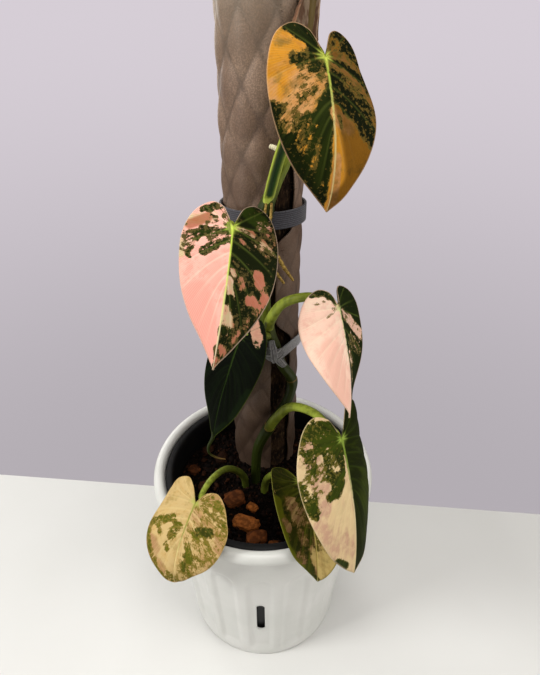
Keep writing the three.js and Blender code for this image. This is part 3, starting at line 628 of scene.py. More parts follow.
strew = random.Random(7)
crumb_ball, crumb_faces = ball(1)
crumbs, tints = [], []
for k in range(CRUMB_COUNT):
    radius = (SOIL_EDGE_RADIUS - CRUMB_EDGE_GAP) * math.sqrt(strew.random())
    turn = strew.uniform(0, 2 * math.pi)
    x, y = radius * math.cos(turn), radius * math.sin(turn)
    size = strew.uniform(*(SMALL_CRUMB_SIZES if strew.random() < SMALL_CRUMB_SHARE else LARGE_CRUMB_SIZES))
    stretch = np.array([strew.uniform(*limits) for limits in CRUMB_STRETCHES])
    dents = np.array([[strew.uniform(*CRUMB_DENTS)] for _ in crumb_ball])
    lean, spin = strew.uniform(-CRUMB_LEAN, CRUMB_LEAN), strew.uniform(0, 6.3)
    shaped = turned(crumb_ball * dents * stretch * size, lean, spin)
    crumbs.append((shaped + [x, y, soil_height(x, y) + 0.5 + size * 0.25], crumb_faces))
    tints += [strew.choice(CRUMB_TINTS)] * len(crumb_ball)
new_piece("soil_crumbs", *gather(crumbs), bark_brown, "soil", numbers={"tint": tints})

# %% [markdown]
# ## Climbing pole
#
# The pole is a sheet of embossed plastic rolled into a C round packed moss. Its pillows are about
# 21 mm wide and 36 mm tall. They could be a bump map, but they break the pole's outline and catch
# light on one side, so they are modelled. A product of two sines gives pillows with sharp valleys
# along both diagonals, and its power sets how full they are.

# %% Brown sheet
sheet_brown, tree, shader = start_material("Polypropylene sheet, sand-blasted brown", Roughness=0.55)
large = patches(tree, 26, 0.35, 0.7, detail=3)
# The mould was blasted with grit of about 0.3 mm, drawn at 0.8 mm so that it shows.
grit = grain(tree, 0.8, detail=3)
tone = add(tree, "blend", large, "#775d4b", "#9b806b")
pit = add(tree, "blend", 0.4, tone, "#3f3127")
tone = add(tree, "blend", add(tree, "ease", grit, 0.42, 0.62), pit, tone)
# Painted shade darkens the valleys between the pillows.
valley_shade = add(tree, "blend", 0.5, tone, "#33261d")
tone = add(tree, "blend", add(tree, "ease", add(tree, "number", "pillow"), 0.0, 0.3), valley_shade, tone)
# Up the pole, in metres: painted shade darkens it from 0.42 m down, most of all near the soil, and it is
# lighter towards the top.
height = add(tree, "z of", add(tree, "place"))
tone = add(tree, "blend", add(tree, "ease", height, 0.42, 0.34, 0, 0.6), tone, "#4b3526")
tone = add(tree, "blend", add(tree, "ease", height, 0.43, 0.5, 0, 0.5), tone, "#a5957f")
# The large patches make the edge of the darkest painted shade near the soil ragged.
lower_shade_edge = add(tree, "plus", height, add(tree, "times", large, 0.04))
tone = add(tree, "blend", add(tree, "ease", lower_shade_edge, 0.34, 0.17, 0, 0.6), tone, "#2b1f15")
dress(tree, shader, tone, grit, 0.3)

# %% Embossed sheet
POLE_AXIS = (1, 36.5)
POLE_BOTTOM_Z = 90
POLE_TOP_Z = 522
MOSS_TOP_Z = 514
VALLEY_RADIUS = 24
CREST_RADIUS = 26
MOSS_RADIUS = 22.2
DIAMOND_HALF_ANGLE = 24
DIAMOND_HALF_HEIGHT = 18.2
DIAMOND_START_ANGLE = -27.5
PILLOW_FULLNESS = 0.7
SHEET_FROM = 50
SHEET_TO = 372
SHEET_THICKNESS = 1.0
SHEET_ROWS = 217
SHEET_COLUMNS = 150
# Under the upper strap one free edge of the sheet is pulled round and nearly closes the strip, and
# towards the top the other one does. Each flap starts and ends between two heights.
FLAP_ANGLE = 30
FLAP_STARTS_Z = (272, 292)
FLAP_ENDS_Z = (358, 346)
TOP_FLAP_ANGLE = 33
TOP_FLAP_STARTS_Z = (392, 412)


def pillow(angle, z):
    """Height of the embossing, 0 in the valleys and 1 on the crests."""
    stretched = 1.6 * np.sin(z / 23 + angle / 31) + 1.1 * np.sin(z / 11 - angle / 17 + 2)
    a = (angle + stretched - DIAMOND_START_ANGLE) / DIAMOND_HALF_ANGLE
    b = (z + 1.2 * np.sin(angle / 19 + z / 37) - POLE_BOTTOM_Z) / DIAMOND_HALF_HEIGHT
    product = np.abs(np.sin(math.pi * (a + b) / 2) * np.sin(math.pi * (a - b) / 2))
    depth = 0.86 + 0.14 * np.sin(angle / 13 + z / 29) * np.cos(z / 19 - angle / 23)
    return product**PILLOW_FULLNESS * depth


def round_pole(radius, angle, z):
    turn = np.radians(angle)
    return np.stack([POLE_AXIS[0] + radius * np.sin(turn), POLE_AXIS[1] - radius * np.cos(turn), z], axis=-1)


def two_sheets(rows, columns):
    """Faces of two grids of points, one over the other, joined along all four edges."""
    count = rows * columns
    faces = grid_faces(rows, columns)
    faces += [face[::-1] for face in grid_faces(rows, columns, start=count)]
    edge = list(range(columns))
    edge += [r * columns + columns - 1 for r in range(1, rows)]
    edge += [(rows - 1) * columns + c for c in range(columns - 2, -1, -1)]
    edge += [r * columns for r in range(rows - 2, 0, -1)]
    for a, b in zip(edge, edge[1:] + edge[:1]):
        faces.append((b, a, a + count, b + count))
    return faces


shares = np.linspace(0, 1, SHEET_COLUMNS)
heights = np.linspace(POLE_BOTTOM_Z, POLE_TOP_Z, SHEET_ROWS)
flap = FLAP_ANGLE * smoothstep(heights, *FLAP_STARTS_Z) * smoothstep(heights, *FLAP_ENDS_Z)
top_flap = TOP_FLAP_ANGLE * smoothstep(heights, *TOP_FLAP_STARTS_Z)
first_edge = SHEET_FROM - flap + 1.2 * np.sin(heights / 17)
last_edge = SHEET_TO + top_flap + np.sin(heights / 13)
share_grid, height_grid = np.meshgrid(shares, heights)
angle_grid = first_edge[:, None] + (last_edge - first_edge)[:, None] * share_grid
raised = pillow(angle_grid, height_grid)
outer = VALLEY_RADIUS + (CREST_RADIUS - VALLEY_RADIUS) * raised
sides = [round_pole(r, angle_grid, height_grid).reshape(-1, 3) for r in (outer, outer - SHEET_THICKNESS)]
new_piece(
    "pole_sheet_embossed",
    np.concatenate(sides),
    two_sheets(len(heights), len(shares)),
    sheet_brown,
    "sheet",
    ["pole_sheet"],
    {"pillow": np.concatenate([raised.ravel()] * 2)},
)

# %% [markdown]
# The moss shows in the open strip and at the top of the pole. It is long-fibre sphagnum, brown and
# dry at the outside. A rough core fills the pole, and short loose fibres stand out of it where it
# can be seen, so that the strip has a ragged edge.

# %% Dry moss
moss_brown, tree, shader = start_material("Sphagnum moss, dry", Roughness=0.95, Specular_IOR_Level=0.1)
strands = grain(tree, 2.4, detail=6, stretch=(1.6, 1.6, 0.5))
moss_tone = add(tree, "blend", patches(tree, 11, 0.4, 0.65, detail=3, seed=4), "#150d08", "#2f2014")
moss_tone = add(tree, "blend", add(tree, "ease", strands, 0.5, 0.72), moss_tone, "#4c3a26")
dress(tree, shader, moss_tone, strands, 1.2)

# %% Moss core
MOSS_RINGS = 170
MOSS_SINK = 0.6
MOSS_ROUGHNESS = 0.8
MOSS_TOP_ROUGHNESS = 1.4
moss_angles = np.arange(0, 360, 4)
moss_turns = np.radians(moss_angles)


def moss_rough(wide, z, octaves):
    """Roughness at each angle, from noise on a circle that wide."""
    return np.array([fractal(wide * math.sin(t), wide * math.cos(t), z, octaves) for t in moss_turns])


moss_rings = [(0, POLE_BOTTOM_Z)]
for z in np.linspace(POLE_BOTTOM_Z, MOSS_TOP_Z, MOSS_RINGS):
    moss_rings.append((MOSS_RADIUS - MOSS_SINK + MOSS_ROUGHNESS * moss_rough(2.6, z / 9, 4), z))
for share in (0.85, 0.6, 0.3, 0):
    bumps = MOSS_TOP_ROUGHNESS * moss_rough(3 * share, 7, 3) if share else 0
    moss_rings.append((MOSS_RADIUS * share, MOSS_TOP_Z + MOSS_SINK + bumps))
points, faces = revolve(moss_rings, moss_angles)
new_piece("moss_core", points + [*POLE_AXIS, 0], faces, moss_brown, "moss", ["pole_moss"])

# %% [markdown]
# A fibre is a rod, and so are the stem, the stalks, the roots and the rolled leaf. A rod is a ring
# carried along a smooth line without twisting: each ring takes over the front of the one before it
# and only tips it to stay square to the line. Blender's curves can do this too, but here the shape
# of the ring changes along the rod, for ridges, grooves and wings.

# %% Rods
FIRST_FRONT = (0.15, -1, 0.1)
# How far a rod's rounded end stands out, and how wide it still is on the way, in radii.
END_REACH = 0.3
END_SHRINK = 0.6
END_SHOULDER = 0.7


def frames_along(line):
    """At each point of a line: the point, the way ahead, a front that never twists, and a side."""
    tangents = np.gradient(line, axis=0)
    tangents /= np.linalg.norm(tangents, axis=1, keepdims=True)
    front = np.array(FIRST_FRONT)
    frames = []
    for centre, ahead in zip(line, tangents):
        front = front - ahead * front.dot(ahead)
        front /= np.linalg.norm(front)
        frames.append((centre, ahead, front, np.cross(ahead, front)))
    return frames


def sweep(points, radii, sides=20, per_span=10, shape=None, swell=None):
    """A rod along a smooth line. shape(share, angles) scales the radius round it and swell(share)
    along it, and angle 0 starts out towards the viewer. Both ends are rounded."""
    line = smooth_line(points, per_span)
    share = np.linspace(0, 1, len(line))
    radius = np.interp(share * (len(radii) - 1), np.arange(len(radii)), radii)
    if swell:
        radius = radius * swell(share)
    angles = np.linspace(0, 2 * math.pi, sides, endpoint=False)
    last = len(line) - 1
    rings, shares, turns = [], [], []
    for i, (centre, ahead, front, side) in enumerate(frames_along(line)):
        reach = radius[i] * (shape(share[i], angles) if shape else np.ones(sides))
        ring = centre + np.outer(reach * np.cos(angles), front) + np.outer(reach * np.sin(angles), side)
        row = [ring]
        if i in (0, last):
            out = ahead * radius[i] * (END_REACH if i else -END_REACH)
            shoulder = centre + (ring - centre) * END_SHRINK + out * END_SHOULDER
            cap = [shoulder, np.repeat([centre + out], sides, axis=0)]
            row = row + cap if i else cap[::-1] + row
        rings += row
        shares += [share[i]] * sides * len(row)
        turns += list(angles) * len(row)
    faces = grid_faces(len(rings), sides, closed=True)
    return np.concatenate(rings), faces, np.array(shares), np.array(turns)


# %% Moss fibres
FIBRE_COUNT = 620
FIBRE_SIDES = 4
FIBRE_RADII = [0.22, 0.2, 0.08]
TOP_FIBRE_SHARE = 0.3
FIBRE_ANGLES = (16, 46)
FIBRE_HEIGHTS = (150, 512)
FIBRE_LENGTHS = (2.5, 6)

fibres = []
for k in range(FIBRE_COUNT):
    if strew.random() < TOP_FIBRE_SHARE:
        radius = MOSS_RADIUS * math.sqrt(strew.random()) * 0.93
        turn = strew.uniform(0, 360)
        start = round_pole(radius, turn, MOSS_TOP_Z + 0.2)
        out = np.array([strew.gauss(0, 1), strew.gauss(0, 1), 0.35])
    else:
        turn = strew.uniform(*FIBRE_ANGLES)
        start = round_pole(MOSS_RADIUS - 0.8, turn, strew.uniform(*FIBRE_HEIGHTS))
        out = round_pole(1, turn, 0) - [*POLE_AXIS, 0] + [0, 0, strew.gauss(0, 1.2)]
    out /= np.linalg.norm(out)
    along = np.cross(out, [strew.gauss(0, 1), strew.gauss(0, 1), strew.gauss(0, 1)])
    along /= np.linalg.norm(along)
    length = strew.uniform(*FIBRE_LENGTHS)
    bend = [start, start + out * 0.7 + along * length * 0.4, start + out * 0.9 + along * length]
    fibres.append(sweep(bend, FIBRE_RADII, sides=FIBRE_SIDES, per_span=2)[:2])
new_piece("moss_fibres", *gather(fibres), moss_brown, "moss")

# %% [markdown]
# ## Straps
#
# Both straps are woven elastic: fine ribs run along the band, and its two edges are a little
# thicker. The upper one goes round the pole behind the stem. The lower one goes over the stem too,
# so its path is an arc round the pole, two straight runs and a small arc round the stem.

# %% Strap materials
# Real ribs are about 0.7 mm apart, drawn at 1.2 mm.
STRAP_RIB_MM = 1.2


def webbing(name, dark, light):
    """Woven elastic with ribs along the band."""
    material, tree, shader = start_material(name, Roughness=0.8, Sheen_Weight=0.25)
    across = add(tree, "number", "across")
    ribs = add(tree, "sine", add(tree, "times", across, 2 * math.pi / STRAP_RIB_MM))
    threads = add(tree, "plus", add(tree, "times", ribs, 0.3), grain(tree, 1.2))
    tone = add(tree, "blend", add(tree, "ease", threads, 0.3, 0.85), dark, light)
    dress(tree, shader, tone, threads, 0.25)
    return material


strap_dark = webbing("Elastic webbing, charcoal", "#232228", "#46444d")
strap_grey = webbing("Elastic webbing, grey", "#68676a", "#b3b2b4")

# %% Strap shapes
STRAP_BORE_RADIUS = 26.3
STRAP_THICKNESS = 1.4
STRAP_SECTION_POINTS = 28
STRAP_SQUARENESS = 0.35
STRAP_EDGE = 0.18
UPPER_STRAP = {"z": 361.5, "width": 11, "tilt": 5, "bump": None}
# The bump is the stem: how far it stands from the pole's axis, its radius, and its angle.
LOWER_STRAP = {"z": 266.5, "width": 8.5, "tilt": 9, "bump": (30.4, 4.4, 16.6)}


def strap_radius(angle, radius, bump, grow):
    """Distance from the pole's axis to a strap pulled tight round it, and round the stem."""
    if not bump:
        return radius
    distance, bump_radius, bump_angle = bump
    turn = math.radians(abs((angle - bump_angle + 180) % 360 - 180))
    leave = math.acos((radius - bump_radius - grow) / distance)
    if turn >= leave:
        return radius
    full = bump_radius + grow
    reach = math.atan2(full * math.sin(leave), distance + full * math.cos(leave))
    if turn > reach:
        return radius / math.cos(leave - turn)
    return distance * math.cos(turn) + math.sqrt(full**2 - (distance * math.sin(turn)) ** 2)


def strap_mesh(z, width, tilt, bump):
    """Points, faces and the distance across the band, for a band with rounded thicker edges."""
    section = []
    for k in range(STRAP_SECTION_POINTS):
        turn = 2 * math.pi * k / STRAP_SECTION_POINTS
        squared = [math.copysign(abs(v) ** STRAP_SQUARENESS, v) for v in (math.cos(turn), math.sin(turn))]
        edge = STRAP_EDGE * smoothstep(abs(squared[1]), 0.72, 0.95)
        section.append((STRAP_THICKNESS / 2 * (1 + squared[0] * (1 + edge)), squared[1] * width / 2))
    points, across = [], []
    angles = np.arange(0, 360, 3)
    for angle in angles:
        turn = math.radians(angle)
        for grow, height in section:
            radius = strap_radius(angle, STRAP_BORE_RADIUS + grow, bump, grow)
            rise = math.tan(math.radians(tilt)) * radius * math.cos(turn)
            points.append(round_pole(radius, angle, z + rise + height))
            across.append(height)
    # The last ring joins the first, so its faces start over at the first row of points.
    faces = grid_faces(len(angles) + 1, STRAP_SECTION_POINTS, closed=True)
    faces = [tuple(i % len(points) for i in face) for face in faces]
    return np.array(points), faces, across


points, faces, across = strap_mesh(**UPPER_STRAP)
new_piece("strap_upper", points, faces, strap_dark, "strap_dark", ["band_upper"], {"across": across})

# %% [markdown]
# The knot of the lower strap is one turn of the band round itself and one turn across it, with two
# ends that come out of it. Each is a flat rod on its own short path, so that they overlap the way
# pulled elastic does.

# %% Lower strap and its knot
KNOT_TURN = [(3.2, 1.6, 270.6), (5.6, -0.9, 271.4), (9, -1.6, 273), (12.2, -0.2, 274.6), (13.6, 2, 275.6)]
KNOT_CROSS = [(8.2, 2.2, 278), (8.2, -1.7, 276.4), (8.8, -2.8, 273), (9.4, -1.7, 269.6), (9.6, 2, 268)]
LONG_END = [(9, 0.4, 273), (12.5, -0.6, 268), (15.5, 0.6, 263.5)]
SHORT_END = [(8, 0.4, 274), (7, -0.4, 279.5), (6.4, 0.6, 284)]
# How many times wider than thick the flat rods are, and half their width in millimetres of rib.
ROD_FLATNESS = 2.4
ROD_ACROSS = 2.6


def flat_section(share, angles):
    return 1 / np.hypot(ROD_FLATNESS * np.cos(angles), np.sin(angles))


points, faces, across = strap_mesh(**LOWER_STRAP)
parts = [(points, faces)]
for route, radii in (
    (KNOT_TURN, [2.6, 3.2, 3.6, 3.2, 2.6]),
    (KNOT_CROSS, [2.2, 2.8, 3, 2.8, 2.2]),
    (LONG_END, [2.6, 2.9, 2.3]),
    (SHORT_END, [2.4, 2.5, 2]),
):
    points, faces, _, turns = sweep(route, radii, per_span=8, shape=flat_section)
    parts.append((points, faces))
    across += list(ROD_ACROSS * np.sin(turns))
new_piece("strap_lower", *gather(parts), strap_grey, "strap_grey", ["band_lower"], {"across": across})

# %% [markdown]
# ## Stem, stalks and roots
#
# The stem is green and finely ridged, with a ring at each node where a leaf left it. The stalks are
# rounder, yellow-green and a little glossy. The top stalk still has its winged sheath: a channel
# with two thin margins. One material serves stem and stalks, and numbers on the mesh say how far
# each point is along, round, and out on a wing.

# %% Green tissue
stem_green, tree, shader = start_material(
    "Philodendron stem, waxy green", Roughness=0.42, Specular_IOR_Level=0.22
)
tone = add(tree, "blend", add(tree, "ease", add(tree, "number", "young"), 0, 1), "#262f0a", "#98a53a")
streaks = grain(tree, 3, detail=4, stretch=(1, 1, 0.25))
darker = add(tree, "blend", 0.45, tone, "#26300c")
tone = add(tree, "blend", add(tree, "ease", streaks, 0.4, 0.68), tone, darker)
# The numbers that change the green, each with where its colour begins and is full.
for name, low, high, colour in (
    ("wing", 0.3, 0.8, "#b4c24e"),
    ("channel", 0.35, 0.9, "#1d3d04"),
    ("scar", 0.35, 0.75, "#8d6a3a"),
):
    tone = add(tree, "blend", add(tree, "ease", add(tree, "number", name), low, high), tone, colour)
dress(tree, shader, tone, streaks, 0.15)

root_tan, tree, shader = start_material("Aerial root, corky", Roughness=0.8)
cork = grain(tree, 1.4, detail=5)
cork_tone = add(tree, "blend", add(tree, "ease", cork, 0.38, 0.65), "#7c5f22", "#bd9c4c")
cork_tone = add(tree, "blend", add(tree, "number", "fresh"), cork_tone, "#ece3c0")
dress(tree, shader, cork_tone, cork, 0.25)

# %% Stem
STEM_POINTS = [
    (-6, 0, 122), (-6, 0, 150), (-3.8, 2.6, 182), (4, 4.6, 200), (18.4, 11.2, 223), (21.6, 14.2, 239.5),
    (13.4, 8.8, 259.5), (9.7, 7.4, 273.5), (4.1, 6.2, 290), (2.3, 5.9, 311), (1.9, 4.2, 345),
    (2.6, 3.6, 372), (9, 3.4, 389), (16.3, 4.6, 406), (22.4, 9.6, 430), (25.2, 15.6, 452),
]
STEM_RADII = [3.4, 3.6, 3.9, 4.2, 3.6, 3.9, 3.5, 3.6, 4.3, 3.5, 4, 4.6, 3.2, 3.2, 3, 2.6]
# Nodes of the stem, as places in the list of points. The ring is a little above the swelling.
STEM_NODES = (3, 5, 8, 10, 11, 14)
RING_ABOVE_NODE = 0.12
SCARRED_BELOW = 10.5
# Painted shade darkens the stem round the node where the top stalk leaves it.
SHADED_NODE = 10.9
SHADED_SPANS = 0.8
STEM_RIDGES = 9
RIDGE_DEPTH = 0.025


def bell(value, width):
    """1 where value is 0, falling off on both sides over about that width."""
    return np.exp(-((value / width) ** 2))


def node_swell(share):
    """Each node is a slight swelling with a sharp ring in its middle."""
    spans = share * (len(STEM_POINTS) - 1)
    swell = np.ones_like(spans)
    for place in STEM_NODES:
        swell += 0.07 * bell(spans - place, 0.28)
        swell += 0.06 * bell(spans - place - RING_ABOVE_NODE, 0.05)
    return swell


def stem_section(share, angles):
    return 1 + RIDGE_DEPTH * np.cos(STEM_RIDGES * angles)


points, faces, shares, turns = sweep(
    STEM_POINTS, STEM_RADII, sides=36, per_span=14, shape=stem_section, swell=node_swell
)
spans = shares * (len(STEM_POINTS) - 1)
rings = sum(bell(spans - place - RING_ABOVE_NODE, 0.06) for place in STEM_NODES)
# young darkens the stem towards the soil, partly as older stem and partly as painted shade, and most round
# the shaded node.
stem_numbers = {
    "young": 0.6 * smoothstep(shares, 0.2, 0.85) * (1 - 0.95 * bell(spans - SHADED_NODE, SHADED_SPANS)),
    "scar": np.clip(rings, 0, 1) * 0.7 * (spans < SCARRED_BELOW),
    "wing": 0 * shares,
    "channel": 0 * shares,
}
new_piece("stem_climbing", points, faces, stem_green, "stem", ["stem_main"], stem_numbers)

# %% [markdown]
# ## Leaf blades
#
# Each blade is a heart that droops, turns and folds along its midrib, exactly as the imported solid
# does: one function bends a flat heart into place. The rows of its mesh follow the side veins, so
# veins, quilting between them, and flecks that run along them all come out of the mesh itself. The
# pale and green parts of each half were set by the shoot it grew on, so the colours are painted
# with strokes in the leaf's own coordinates, and noise along the veins frays the edges of each
# stroke into flecks.

# %% Leaf shapes
HALF_OUTLINE = np.array(
    [
        (0.07, -0.055), (0.22, -0.155), (0.48, -0.2), (0.78, -0.13), (0.97, 0.03), (1, 0.22),
        (0.9, 0.44), (0.66, 0.66), (0.35, 0.83), (0.1, 0.945), (0, 1),
    ]
)
BLADE_THICKNESS = 0.55
BLADE_ROWS = 132
BLADE_COLUMNS = 30
MIDRIB_STATIONS = 120
STATIONS_FROM = -0.25
STATIONS_TO = 1.05
WAVES_PER_SIDE = 3.5
VEIN_FREE = 0.12
VEIN_START_SHARE = 0.52
VEIN_BOW = 0.1
# Side veins, as shares of the way along the half outline from the stalk to the tip.
VEINS = (0.13, 0.25, 0.36, 0.455, 0.54, 0.615, 0.685, 0.755, 0.83)
LEAVES = {
    1: dict(at=(30.1, -24.8, 454.2), heading=19.1, pitch=54.7, roll=12.1, length=73.8,
            half_width=(28.9, 28.1), droop=66.2, droop_power=1.5, sweep=-3, fold=(1.5, 13.7),
            cup=(16.6, 8.3), twist=-27.7, wave=0.6),
    2: dict(at=(-13.4, -32.9, 378), heading=-5, pitch=46.2, roll=12.2, length=74.6,
            half_width=(28.7, 28.3), droop=17.7, droop_power=1.1, sweep=-19.1, fold=(29, 31.7),
            cup=(-14.1, -16.3), twist=5.8, wave=0.6),
    3: dict(at=(46.2, -23.4, 324), heading=26.5, pitch=55.3, roll=27.3, length=65.3,
            half_width=(31.1, 30.8), droop=3.4, droop_power=1.3, sweep=-31.9, fold=(-5.4, 24.7),
            cup=(53.7, -30.1), twist=35.3, wave=0.6),
    4: dict(at=(49.2, -57, 251.7), heading=27.7, pitch=58.9, roll=3.5, length=97.7,
            half_width=(39, 37.6), droop=27, droop_power=1.6, sweep=-20.1, fold=(-19.1, 5.3),
            cup=(20.6, 70.9), twist=22, wave=0.9),
    5: dict(at=(-44.9, -55.7, 190.3), heading=-32.6, pitch=42.3, roll=-6, length=61.5,
            half_width=(32, 32.7), droop=57.4, droop_power=2.6, sweep=11.7, fold=(-8.7, -14.7),
            cup=(54.4, 15.1), twist=29.8, wave=0.9),
    6: dict(at=(26, -43.2, 197.3), heading=16.9, pitch=-2.4, roll=-6.5, length=73.4,
            half_width=(23.9, 24.7), droop=92, droop_power=1, sweep=-10, fold=(-10.8, -14.9),
            cup=(-44.5, -26.7), twist=-24.6, wave=0.5),
    7: dict(at=(-13.8, -2.2, 290), heading=-49.4, pitch=64, roll=2.4, length=80.6,
            half_width=(23.8, 23.7), droop=13.3, droop_power=1.4, sweep=0.5, fold=(-1, 0.6),
            cup=(0, 13), twist=-1.8, wave=0.7),
}


def leaf_surface(leaf):
    """Gives a function from (across in mm, along in midrib lengths) to points, the way the upper
    face looks there, and the way the midrib runs."""
    along = np.linspace(STATIONS_FROM, STATIONS_TO, MIDRIB_STATIONS + 1)
    grown = np.maximum(along, 0)
    pitch = np.radians(leaf["pitch"] + leaf["droop"] * grown ** leaf["droop_power"])
    heading = np.radians(leaf["heading"] + leaf["sweep"] * grown)
    roll = np.radians(leaf["roll"] + leaf["twist"] * grown)[:, None]
    ahead = np.stack(
        [np.sin(heading) * np.cos(pitch), -np.cos(heading) * np.cos(pitch), -np.sin(pitch)], axis=1
    )
    level = np.stack([np.cos(heading), np.sin(heading), 0 * heading], axis=1)
    top = np.cross(ahead, level)
    side = level * np.cos(roll) - top * np.sin(roll)
    up = top * np.cos(roll) + level * np.sin(roll)
    step = (STATIONS_TO - STATIONS_FROM) / MIDRIB_STATIONS * leaf["length"]
    place = np.cumsum(ahead * step, axis=0)
    stalk_station = round(-STATIONS_FROM / (STATIONS_TO - STATIONS_FROM) * MIDRIB_STATIONS)
    place += np.array(leaf["at"]) - place[stalk_station]

    def at(values, where):
        return np.stack([np.interp(where, along, values[:, i]) for i in range(3)], axis=-1)

    def surface(across, where):
        hand = (across >= 0).astype(int)
        outwards = np.where(across < 0, -1.0, 1.0)[..., None]
        share = np.abs(across) / np.array(leaf["half_width"])[hand]
        fold = np.array(leaf["fold"])[hand]
        cup = np.array(leaf["cup"])[hand]
        lean = np.radians(fold + cup * share / 2)[..., None]
        edge_lean = np.radians(fold + cup * share)[..., None]
        reach = np.abs(across)[..., None]
        sides, ups = at(side, where), at(up, where)
        points = at(place, where) + sides * outwards * reach * np.cos(lean) - ups * reach * np.sin(lean)
        normals = ups * np.cos(edge_lean) + sides * outwards * np.sin(edge_lean)
        normals /= np.linalg.norm(normals, axis=-1, keepdims=True)
        return points, normals, at(ahead, where)

    return surface


def outline_at(shares):
    """Points of the half outline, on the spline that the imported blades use."""
    last = len(HALF_OUTLINE) - 1
    place = shares * last
    i = np.minimum(np.floor(place).astype(int), last)
    t = (place - i)[:, None]
    p0, p1 = HALF_OUTLINE[np.maximum(i - 1, 0)], HALF_OUTLINE[i]
    p2, p3 = HALF_OUTLINE[np.minimum(i + 1, last)], HALF_OUTLINE[np.minimum(i + 2, last)]
    v0, v1 = (p2 - p0) / 2, (p3 - p1) / 2
    return (2 * p1 - 2 * p2 + v0 + v1) * t**3 + (3 * p2 - 3 * p1 - 2 * v0 - v1) * t**2 + v0 * t + p1


# %% [markdown]
# The relief of a blade is under a millimetre deep: veins and midrib are pressed in, the skin swells
# between them, the margin is rounded and a little wavy. Each of these is a distance turned into a
# height, so all of them are measured on the flat heart before it is bent.

# %% Leaf relief
# Depths and widths in millimetres. Veins and midrib have one depth on the upper face and one on the
# lower, where they stand out instead of being pressed in.
VEIN_DEPTH = (0.28, 0.3)
MIDRIB_DEPTH = (0.3, 0.75)
VEIN_WIDTH = 0.5
MIDRIB_WIDTH = 0.85
FINEST_WIDTH = 0.1
QUILT_HEIGHT = 0.34
QUILT_WIDTH = 3.2
MARGIN_ROUNDING = 0.12
MARGIN_WIDTH = 0.5
MARGIN_STEPS = 400
SINUS_WIDTH = 5.2
# A stroke is full up to 0.55 of its radius and fades to nothing at 1.45 of it.
STROKE_EDGE = 1.45
STROKE_SOFTNESS = 0.9
# Each half of each leaf reads its own part of the noise, this far apart.
NOISE_APART = (60, 150)

down_margin = np.linspace(0, 1, BLADE_ROWS + 1)
outward = np.linspace(0, 1, BLADE_COLUMNS + 1)
bow = VEIN_BOW * 4 * outward * (1 - outward)
edge = outline_at(down_margin)
edge_x, edge_y = edge[:, :1], edge[:, 1:]


def vein_to(x, y):
    """Across and along a bowed line from the midrib out to the margin at (x, y)."""
    root = np.maximum(0, (y - VEIN_FREE) * VEIN_START_SHARE)
    return x * outward, root * (1 - outward) + y * outward - bow * np.maximum(0, y)


across_flat, along_flat = vein_to(edge_x, edge_y)
vein_lines = [vein_to(x, y) for x, y in outline_at(np.array(VEINS))]
print("blade grid:", across_flat.shape, "points on each half, with", len(vein_lines), "side veins")


def paint(start, strokes, leaf, across, along):
    """start gives the value of the left and the right half. Each stroke, from one point to another
    with a radius in millimetres, paints its value over what is there."""
    value = np.where(across < 0, start[0], start[1]).astype(float)
    length = leaf["length"]
    for s1, a1, s2, a2, radius, new in strokes:
        widths = [leaf["half_width"][0 if s < 0 else 1] for s in (s1, s2)]
        first = np.array([s1 * widths[0], a1 * length])
        run = np.array([s2 * widths[1], a2 * length]) - first
        offset = np.stack([across, along * length], axis=-1) - first
        part = np.clip(offset @ run / max(run @ run, 1e-9), 0, 1)
        distance = np.linalg.norm(offset - part[..., None] * run, axis=-1)
        cover = smoothstep(STROKE_EDGE - distance / radius, 0, STROKE_SOFTNESS)
        value = value * (1 - cover) + new * cover
    return value


